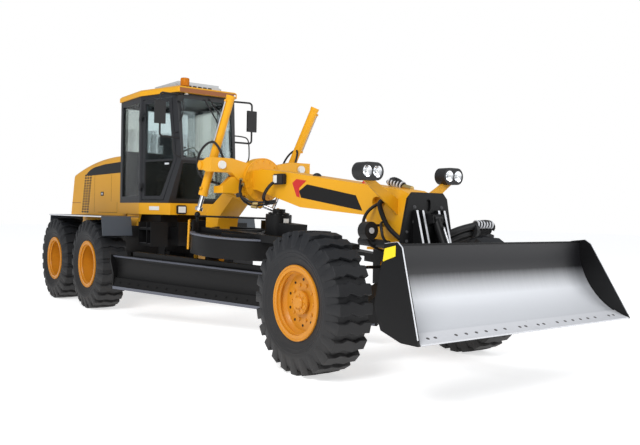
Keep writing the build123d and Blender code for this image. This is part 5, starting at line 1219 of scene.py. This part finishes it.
# %% Hoses
# columns: radius, then the route's points by station, across and height
hose_rows = (
    (0.016, ((3.60, -0.560, 2.190), (3.58, -0.640, 2.400), (3.36, -0.670, 2.395), (3.16, -0.680, 2.260),
             (3.10, -0.670, 2.080), (3.20, -0.640, 1.920), (3.50, -0.560, 1.870))),
    (0.014, ((3.60, 0.560, 2.190), (3.58, 0.640, 2.380), (3.36, 0.670, 2.370), (3.16, 0.680, 2.240),
             (3.10, 0.670, 2.080), (3.20, 0.640, 1.920), (3.56, 0.420, 1.960))),
    (0.015, ((3.66, -0.330, 1.930), (3.78, -0.420, 1.860), (3.82, -0.440, 1.700), (4.02, -0.360, 1.610),
             (4.20, -0.150, 1.660))),
    (0.015, ((3.66, -0.300, 1.880), (3.75, -0.400, 1.800), (3.79, -0.400, 1.660), (4.00, -0.330, 1.570),
             (4.20, -0.150, 1.640))),
    (0.013, ((4.20, -0.158, 1.900), (4.23, -0.240, 1.880), (4.16, -0.300, 1.760), (4.10, -0.290, 1.650),
             (4.06, -0.150, 1.640))),
    (0.013, ((4.24, -0.158, 1.900), (4.28, -0.250, 1.880), (4.21, -0.320, 1.750), (4.15, -0.300, 1.640),
             (4.12, -0.150, 1.620))),
    (0.017, ((6.10, -0.120, 1.630), (6.07, -0.205, 1.600), (6.00, -0.270, 1.480), (5.98, -0.250, 1.330),
             (6.05, -0.150, 1.250))),
    (0.014, ((6.20, -0.158, 1.440), (6.30, -0.300, 1.430), (6.42, -0.400, 1.380), (6.44, -0.380, 1.240),
             (6.36, -0.150, 1.180))),
    (0.014, ((6.18, -0.158, 1.400), (6.22, -0.330, 1.410), (6.24, -0.440, 1.320), (6.24, -0.380, 1.180),
             (6.24, -0.150, 1.130))),
    (0.036, ((6.640, 0.200, 1.290), (6.720, 0.240, 1.330), (6.750, 0.420, 1.390), (6.750, 0.620, 1.420))),
    (0.030, ((6.640, 0.200, 1.220), (6.700, 0.300, 1.280), (6.730, 0.500, 1.340), (6.730, 0.700, 1.350))),
    (0.020, ((6.730, 0.860, 1.400), (6.710, 0.880, 1.370), (6.700, 0.760, 1.340), (6.640, 0.480, 1.290),
             (6.440, 0.158, 1.190))),
    (0.020, ((6.710, 0.840, 1.400), (6.700, 0.840, 1.360), (6.690, 0.700, 1.320), (6.630, 0.430, 1.250),
             (6.430, 0.158, 1.150)))
)
put("hoses", "front", hose_rubber, [hose(route, radius) for radius, route in hose_rows])

ribbed_rows = (
    (0.026, ((6.12, -0.120, 1.650), (6.17, -0.215, 1.640), (6.28, -0.270, 1.520), (6.38, -0.260, 1.360),
             (6.44, -0.150, 1.270))),
    (0.040, ((6.750, 0.600, 1.425), (6.750, 0.720, 1.440), (6.740, 0.840, 1.435), (6.732, 0.890, 1.400),
             (6.725, 0.880, 1.375))),
    (0.038, ((6.730, 0.680, 1.350), (6.730, 0.780, 1.350), (6.725, 0.830, 1.365), (6.720, 0.850, 1.360))))
put("ribbed_hoses", "front", hose_rubber,
    [ribbed_hose(route, radius) for radius, route in ribbed_rows])
put("coupler_sleeve", "front", hose_rubber, [
    ribbed_hose(((5.98, 0.10, 1.845), (6.03, 0.10, 1.880), (6.12, 0.10, 1.860), (6.20, 0.10, 1.810)),
                0.040, 0.020)])
# columns: where the first and last ring of painted highlight sit, their radius and number
sleeve_rows = (((6.01, 0.10, 1.862), (6.19, 0.10, 1.815), 0.046, 5),
               ((6.750, 0.610, 1.428), (6.742, 0.840, 1.426), 0.045, 6))
sleeve_rings = []
for start, end, radius, count in sleeve_rows:
    first, last = station(*start), station(*end)
    band_shape = ((-0.008, radius), (0.008, radius), (0.008, radius - 0.016), (-0.008, radius - 0.016))
    for index in range(count):
        at_ring = first.lerp(last, index / (count - 1))
        sleeve_rings.append(turned(band_shape, at_ring, last - first, 20))
put("sleeve_rings", "front", bright_metal_and_highlight, sleeve_rings)
# columns: name, finish, slot, rods by start, end and radius
fitting_rows = (
    ("brass_fittings", brass, "steel",
     (((6.20, 0.10, 1.810), (6.33, 0.10, 1.782), 0.028),
      ((3.640, -0.330, 1.930), (3.700, -0.350, 1.920), 0.022),
      ((3.640, -0.300, 1.880), (3.700, -0.330, 1.860), 0.022),
      ((4.00, -0.352, 1.618), (4.06, -0.315, 1.618), 0.021),
      ((3.95, -0.345, 1.585), (4.02, -0.310, 1.575), 0.021))),
    ("hose_clamps", plastic, "plastic_black",
     (((3.805, -0.445, 1.745), (3.815, -0.440, 1.705), 0.040),
      ((6.17, -0.400, 1.350), (6.28, -0.400, 1.350), 0.090),
      ((6.00, -0.300, 1.235), (6.42, -0.300, 1.215), 0.042),
      ((6.74, 0.560, 1.365), (6.74, 0.600, 1.365), 0.075))),
    ("hub_cluster", bright_metal_and_highlight, "steel",
     (((6.28, -0.400, 1.350), (6.288, -0.400, 1.350), 0.030),)))
for name, material, slot, rods in fitting_rows:
    put(name, "front", material, [rod(start, end, radius) for start, end, radius in rods])
print("hoses", len(hose_rows) + len(ribbed_rows) + 1)
tell("hose")

# %% [markdown]
# ## Cylinders
#
# Each cylinder's barrel ends in a wide gland ring with a wiper, and has welded ports and a steel pipe between
# them. The lift barrels stick out behind their trunnions, so they have a tail ring and a third port there.
# All of it is made along the cylinder's axis, which the solids' boxes don't give, so the pins' places are
# repeated from the machine's own layout.

# %% Gland rings, ports and pipes
lift_pins = [tool_frame @ Vector((LIFT_PIN.x, hand * LIFT_PIN.y, LIFT_PIN.z)) for hand in (1, -1)]
shift_pin_at = tool_frame @ Vector((-2.456, 0.570, 0.300))
# the dozer cylinder's pin lies part of the way along the push arms
ARM_SHARE = 0.6
push_pin = station(6.715 + ARM_SHARE * (7.420 - 6.715), 0, 0.620 + ARM_SHARE * (0.750 - 0.620))
# columns: body, finish, slot, a point on the cylinder's axis, a point nearer its rod, barrel radius, then by
# distance from the first point towards the second: gland's face, where the pipe starts and ends, and the tail
# ring of a barrel that sticks out behind; last, the side that the ports face
cylinder_rows = [
    (f"lift_barrel_{side_name}", yellow, "paint_yellow", station(3.390, hand * 0.615, 2.100), pin,
     0.055, 0.400, -0.300, -0.860, -0.900, (0.25, hand, 0))
    for (hand, side_name), pin in zip(SIDES, lift_pins)]
cylinder_rows += [
    ("shift_barrel", yellow, "paint_yellow", station(3.473, -0.500, 1.795), shift_pin_at,
     0.044, 0.637, 0.140, 0.547, None, (1, 0, 0)),
    ("dozer_barrel", black, "paint_black", station(6.770, 0, 1.480), push_pin,
     0.042, 0.560, 0.120, 0.470, None, (0, 0, 1))]
for row in cylinder_rows:
    body, material, slot, start, towards, barrel_r, gland, pipe_from, pipe_to, tail, port_side = row
    along = (towards - start).normalized()
    out = (Vector(port_side) - along * along.dot(Vector(port_side))).normalized()
    rod_bore = barrel_r * 0.62
    parts = [turned(((gland - 0.055, barrel_r - 0.003), (gland - 0.055, barrel_r + 0.007),
                     (gland - 0.004, barrel_r + 0.007), (gland + 0.002, barrel_r + 0.002),
                     (gland + 0.002, rod_bore), (gland - 0.006, rod_bore),
                     (gland - 0.006, barrel_r - 0.003)), start, along, 32)]
    # columns: a port's distance, its radius and how far it stands off the barrel
    ports = [(gland - 0.090, 0.017, 0.022), (pipe_from, 0.017, 0.022)]
    if tail is not None:
        ports.append((tail + 0.050, 0.016, 0.024))
        parts.append(turned(((tail - 0.030, barrel_r + 0.004), (tail + 0.010, barrel_r + 0.004),
                             (tail + 0.010, barrel_r - 0.003), (tail - 0.030, barrel_r - 0.003)),
                            start, along, 32))
    for spot, port_r, rise in ports:
        foot = start + along * spot
        parts.append(rod(foot + out * (barrel_r - 0.006), foot + out * (barrel_r + rise), port_r,
                         by_station=False))
    clear = start + out * (barrel_r + 0.016)
    pipe = rod(clear + along * pipe_from, clear + along * pipe_to, 0.009, by_station=False)
    put(f"{body}_ends", body, material, parts)
    put(f"{body}_pipe", body, steel, [pipe])
tell("cylinder")

# %% [markdown]
# ## Cab
#
# The cab's solids are its frame, panes and fittings. What is added here makes it look used: the air unit's
# white cover with dark vents, the amber beacon, a dark lining under the roof, wipers on both panes, the
# round near-side mirror and handrails, the blank plate and work lamp on the skirt, and door handles. Places
# on the tapered side wall come from one function of the station, as in the solid.


# %% Cab details
WALL_TAPER = 0.277           # how much the side wall comes in for each metre forward


def wall_at(along, height, out=0.0, hand=-1, grow=0.0):
    """A point on the cab's tapered side wall ahead of the door post, some way out from it."""
    return station(along, hand * (0.690 + grow + out - (along - 1.330) * WALL_TAPER), height)


def wall_plate(x0, x1, z0, z1, proud, thickness, grow=0.0, hand=-1):
    """A flat plate on the cab's side wall."""
    corners = [wall_at(x, z, proud, hand, grow) for x, z in ((x0, z0), (x1, z0), (x1, z1), (x0, z1))]
    return cut_plate(corners, thickness, (WALL_TAPER, hand, 0))


def flat_shape(name, x, y, low_z, high_z):
    """A small block for the row tree, centred across and along, between two heights."""
    return pattern_shape(name, block((-x, -y, low_z), (x, y, high_z), 0.0, by_station=False))


def repeat(shape, count, step, material, start):
    """A row of copies of a shape that starts at a station."""
    inputs = {"Shape": shape, "Count": count, "Step": step, "Material": material}
    return grow(row_tree, "row", inputs, Matrix.Translation(station(*start)))


put("air_unit_cover", "rear", unit_white,
    [block((0.945, -0.360, 3.302), (1.856, 0.410, 3.440), 0.045)])
vent_shape = flat_shape("vent_shape", 0.003, 0.030, -0.011, 0.011)
put("air_unit_vents", "rear", plastic, [
    repeat(vent_shape, 5, (0, 0.085, 0), plastic, (1.8565, -0.155, 3.370))])
put("beacon", "rear", beacon_orange, [
    turned(((3.335, 0.004), (3.335, 0.066), (3.430, 0.065), (3.449, 0.0625), (3.4545, 0.054),
            (3.4550, 0.004)),
           station(1.990, -0.300, 0), (0, 0, 1), 28)])
# the roof's front fascia lies in shade: a darker orange plate on it is painted shade
fascia_corners = ((-0.462, 3.286), (0.462, 3.286), (0.462, 3.222), (-0.462, 3.222))
put("roof_fascia", "rear", shade_and_stripe_orange, [
    cut_plate([station(2.160, y, z) for y, z in fascia_corners], 0.004, (1, 0, 0))])
put("roof_lamps", "rear", white_paint, [
    dome((2.110, -0.336, 3.196), 0.030), block((2.118, 0.420, 3.236), (2.168, 0.468, 3.276), 0.008)])
tell("roof")

# %% Rails, mirror and wipers
# columns: radius, then the bar's points
cab_tubes = (
    (0.009, ((2.100, -0.432, 3.185), (2.150, -0.425, 3.190), (2.160, -0.412, 3.100), (2.160, -0.400, 2.860),
             (2.130, -0.470, 2.770))),
    (0.010, ((2.125, 0.472, 2.660), (2.130, 0.600, 2.660), (2.120, 0.715, 2.640), (2.120, 0.740, 2.520),
             (2.125, 0.740, 2.280), (2.180, 0.600, 2.240), (2.200, 0.460, 2.250))),
    (0.010, ((2.125, -0.472, 2.640), (2.150, -0.560, 2.630), (2.160, -0.570, 2.500), (2.180, -0.560, 2.300),
             (2.190, -0.455, 2.280))))
put("cab_rails", "rear", plastic, [hose(points, radius, 10) for radius, points in cab_tubes])
put("near_mirror", "rear", plastic, [
    rod((2.140, -0.455, 3.125), (2.172, -0.455, 3.125), 0.052, 0.046, 28)])

# columns: start, end, radius of each wiper's arm and blade
wiper_rods = (((2.112, -0.040, 3.158), (2.158, 0.190, 2.790), 0.011),
              ((2.112, 0.040, 3.175), (2.152, 0.232, 2.900), 0.011),
              ((2.158, 0.360, 2.730), (2.196, 0.357, 2.420), 0.009),
              ((2.150, 0.140, 2.855), (2.170, 0.240, 2.700), 0.010),
              ((2.205, -0.100, 2.250), (2.165, 0.020, 2.020), 0.007),
              ((2.190, 0.110, 2.250), (2.120, 0.170, 1.960), 0.007))
put("wipers", "rear", plastic, [rod(*row) for row in wiper_rods])
put("screen_fixings", "rear", plastic, [
    rod((x - 0.002, y, z), (x + 0.012, y, z), 0.014) for x, y, z in (
        (2.126, -0.392, 2.983), (2.196, -0.392, 2.420), (2.126, 0.392, 2.983), (2.196, 0.392, 2.420))])
tell("rail, mirror and wiper")

# %% Lining, skirt and door handles
lining_corners = [station(x, y, 3.198) for x, y in (
    (0.510, -0.585), (1.330, -0.640), (2.040, -0.445), (2.040, 0.445), (1.330, 0.640), (0.510, 0.585))]
put("roof_lining", "rear", cab_black, [cut_plate(lining_corners, 0.014, (0, 0, 1))])
put("skirt_plate", "rear", white_paint,
    [wall_plate(1.566, 1.775, 1.514, 1.570, 0.001, 0.003, 0.010)])
put("skirt_lamp", "rear", plastic,
    [block((2.008, -0.420, 1.462), (2.046, -0.262, 1.592), 0.012)])
put("skirt_lamp_lens", "rear", white_paint,
    [block((2.044, -0.400, 1.482), (2.051, -0.282, 1.572), 0.003)])
for hand, side_name in SIDES:
    handle = [wall_plate(1.905, 1.985, 2.180, 2.205, 0.020, 0.012, hand=hand),
              wall_plate(1.910, 1.925, 2.182, 2.203, -0.002, 0.024, hand=hand)]
    put(f"door_handle_{side_name}", f"door_{side_name}", bright_metal_and_highlight, handle)
    bars = [wall_plate(1.445, 2.030, 2.236, 2.262, -0.012, 0.016, hand=hand)]
    put(f"door_bar_{side_name}", f"door_{side_name}", cab_black, bars)
tell("lining, skirt and door")

# %% [markdown]
# ## Seat and controls
#
# The seat shows through the glass. A cushion is a soft thing: crowned, rounded at its edges, pulled in
# between its corners and sewn across. It starts as a finely divided box, and each point is moved by a
# formula for the crown, the pull, the rounding and the seams. The cloth simulation would give nearly the
# same shape behind tinted glass for much more time, so the formula is used.


# %% Seat cushions
def cushion(low, high, seams, crown=0.030):
    """A padded box: its sides pull in between its corners, its faces swell, and seams cross its length."""
    work = bmesh.new()
    bmesh.ops.create_cube(work, size=1)
    bmesh.ops.subdivide_edges(work, edges=work.edges[:], cuts=15, use_grid_fill=True)
    size = [b - a for a, b in zip(low, high)]
    for vert in work.verts:
        u, v, w = (2 * part for part in vert.co)
        round_off = 1 - 0.10 * (u**4 * v**4 + v**4 * w**4 + u**4 * w**4)
        swell = (1 - u * u) * (1 - v * v) * w * crown * 2 / size[2]
        pulls = 1 - 0.03 * (1 - w * w)
        groove = sum(0.05 * max(0, 1 - abs(u - seam) * 9) for seam in seams) * (1 if w > 0 else 0)
        vert.co = Vector((u * round_off * pulls / 2, v * round_off * pulls / 2,
                          (w * round_off + swell - groove) / 2))
        vert.co = Vector([a + (part * 0.90 + 0.5) * span for a, part, span in zip(low, vert.co, size)])
    outward(work)
    return mesh_of(work, "cushion")


seat_pad = cushion((0, -0.25, 0), (0.52, 0.25, 0.14), (-0.35, 0.35))
seat_pad.transform(Matrix.Translation(station(0.80, 0, 1.950)))
seat_rest = cushion((0, -0.24, 0), (0.66, 0.24, 0.13), (-0.3, 0.1, 0.5))
seat_rest.transform(Matrix.Translation(station(0.930, 0, 2.090)) @ Matrix.Rotation(radians(-98.5), 4, "Y")
                    @ Matrix.Rotation(pi, 4, "X"))
seat = put("seat_cushions", "rear", seat_cloth, [seat_pad, seat_rest])
tell("seat")

# %% Seat base, console and steering wheel
column_side = ((1.640, 1.622), (1.800, 1.622), (1.700, 2.280), (1.590, 2.280))
console = [block((0.85, -0.20, 1.622), (1.25, 0.20, 1.945), 0.02),
           cut_plate([station(x, -0.170, z) for x, z in column_side], 0.340, (0, 1, 0)),
           rod((1.560, 0, 2.300), (1.590, 0, 2.285), 0.030)]
wheel_axis = Vector((0.06, 0, -0.03)).normalized()
console.append(turned(((-0.012, 0.172), (0.0, 0.164), (0.012, 0.172), (0.012, 0.184), (0.0, 0.190),
                       (-0.012, 0.184)),
                      station(1.570, 0, 2.297), wheel_axis, 40))
hub_at = station(1.572, 0, 2.296)
for spoke in range(3):
    turn = 2 * pi * spoke / 3 + 0.5
    rim_at = hub_at + facing((0, 0, 0), wheel_axis) @ Vector((0.170 * cos(turn), 0.170 * sin(turn), 0))
    console.append(rod(hub_at, rim_at, 0.010, by_station=False))
for index in range(4):
    for hand in (1, -1):
        foot = Vector((1.62 - 0.015 * index, hand * (0.185 + 0.045 * index), 2.02))
        lever_top = foot + Vector((-0.04, 0, 0.24))
        console.append(rod(foot, lever_top, 0.006))
        console.append(rod(lever_top, foot + Vector((-0.045, 0, 0.27)), 0.016))
console.append(block((1.58, -0.36, 1.96), (1.70, 0.36, 2.03), 0.01))
controls = put("seat_base_and_controls", "rear", plastic, console)
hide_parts("cab_interior")
tell("control")

# %% [markdown]
# ## Hood, fenders and tail
#
# The hood is folded steel with three columns of pressed louvres on each side. Through them the inside lies in
# shade, so each one gets a black slot of painted shade. A black band runs along the hood's top edge on both
# sides, cut from thin plate to its curved outline. The row tree makes the painted-shade slots behind the
# louvres and the tail's grille.

# %% Louvre and grille slots of painted shade
HOOD_LEAN = 170 / 730        # how far the hood's tail leans forward for each metre up
LOUVRE_PITCH, GRILLE_PITCH, TAIL_X = 0.047, 0.045, -2.2003
louvre_shape = pattern_shape(
    "louvre_shape", block((0, -0.0006, -0.006), (0.086, 0.0006, 0.024), 0.0, by_station=False))
slot_shape = flat_shape("slot_shape", 0.0006, 0.400, -0.001, 0.023)
louvre_step = (LOUVRE_PITCH * HOOD_LEAN, 0, LOUVRE_PITCH)
# black slots of painted shade on the hood's sides and tail stand for the shaded inside
shade_slots = [repeat(louvre_shape, 15, louvre_step, black, (-1.634 + 0.125 * column, hand * 0.5203, 1.452))
         for hand in (1, -1) for column in range(3)]
shade_slots.append(repeat(slot_shape, 4, (0, 0, GRILLE_PITCH), black, (TAIL_X, 0, 1.250)))
shade_slots.append(repeat(slot_shape, 14, (GRILLE_PITCH * HOOD_LEAN, 0, GRILLE_PITCH), black, (TAIL_X, 0, 1.430)))
put("louvre_backs", "rear", black, shade_slots)
tell("louvre")

# %% Hood band, latch and lines
band = ((-1.434, 2.128), (-1.340, 2.172), (-1.219, 2.212), (-1.080, 2.242), (-0.940, 2.258), (-0.519, 2.285),
        (0.127, 2.297), (0.429, 2.300), (0.429, 2.122), (0.133, 2.120), (-0.592, 2.114), (-1.002, 2.112),
        (-1.300, 2.114))
put("hood_band", "rear", black, [
    cut_plate([station(x, hand * 0.520, z) for x, z in band], 0.002, (0, hand, 0)) for hand in (1, -1)])
hood_dark, hood_bright, hood_red = [], [], []
# columns: stations and heights of the panel joints
joint_rows = ((-0.815, 0.042, 1.457, 1.462), (0.038, 0.043, 1.457, 1.640),
              (-1.000, -0.996, 1.462, 2.110), (-0.220, -0.216, 1.640, 2.110))
for hand in (1, -1):
    face = hand * 0.521
    low_y, high_y = sorted((hand * 0.5195, face))
    hood_dark.append(block((-0.700, low_y, 1.745), (-0.560, high_y, 1.815), 0.0))
    inner, outer = sorted((face, face + hand * 0.006))
    hood_bright.append(block((-0.660, inner, 1.765), (-0.600, outer, 1.797), 0.0015))
    for x0, x1, z0, z1 in joint_rows:
        hood_dark.append(block((x0, low_y, z0), (x1, high_y, z1), 0.0))
    hood_red.append(block((-2.160, low_y, 1.622), (-1.700, high_y, 1.632), 0.0))
for hand in (1, -1):
    hood_dark.append(block((-2.062, hand * 0.445 - 0.030, 1.200), (-2.050, hand * 0.445 + 0.030, 1.320), 0.0))
put("hood_joints", "rear", black, hood_dark)
put("hood_latches", "rear", bright_metal_and_highlight, hood_bright)
put("hood_lines", "rear", shade_and_stripe_orange, hood_red)
put("tail_lamps", "rear", red_paint, [
    block((-2.212, hand * 0.470 - 0.035, 1.215), (-2.196, hand * 0.470 + 0.035, 1.330), 0.006)
    for hand in (1, -1)])
tell("hood and tail")

# %% Fender edge highlights, steps and stacks
# a thin pale strip along each fender's outer top edge is a painted highlight
fender_edges = []
for hand in (1, -1):
    inner, outer = sorted((hand * 1.2995, hand * 1.3035))
    fender_edges.append(block((-1.000, inner, 1.396), (1.410, outer, 1.4145), 0.0))
put("fender_edges", "rear", bright_metal_and_highlight, fender_edges)
tooth_shape = flat_shape("step_tooth", 0.004, 0.120, 0, 0.006)
put("step_treads", "rear", iron, [
    repeat(tooth_shape, 16, (0.025, 0, 0), iron, (1.595, hand * 0.670, z))
    for hand in (1, -1) for z in (1.030, 1.255)])
INTAKE, EXHAUST = station(0.130, -0.060, 0), station(-0.260, 0.240, 0)
# columns: stack, steps round it, then the ring's outline by height and radius
stack_rows = ((INTAKE, 36, ((2.640, 0.060), (2.640, 0.124), (2.652, 0.124), (2.652, 0.060))),
              (INTAKE, 36, ((2.740, 0.119), (2.744, 0.123), (2.752, 0.123), (2.756, 0.119))),
              (INTAKE, 36, ((2.395, 0.066), (2.395, 0.085), (2.407, 0.085), (2.407, 0.066))),
              (EXHAUST, 32, ((2.695, 0.054), (2.695, 0.060), (2.715, 0.060), (2.715, 0.054))))
put("stack_rings", "rear", plastic, [
    turned(outline, middle, (0, 0, 1), steps) for middle, steps, outline in stack_rows])
tell("fender, step and stack")

# %% End
print("done")
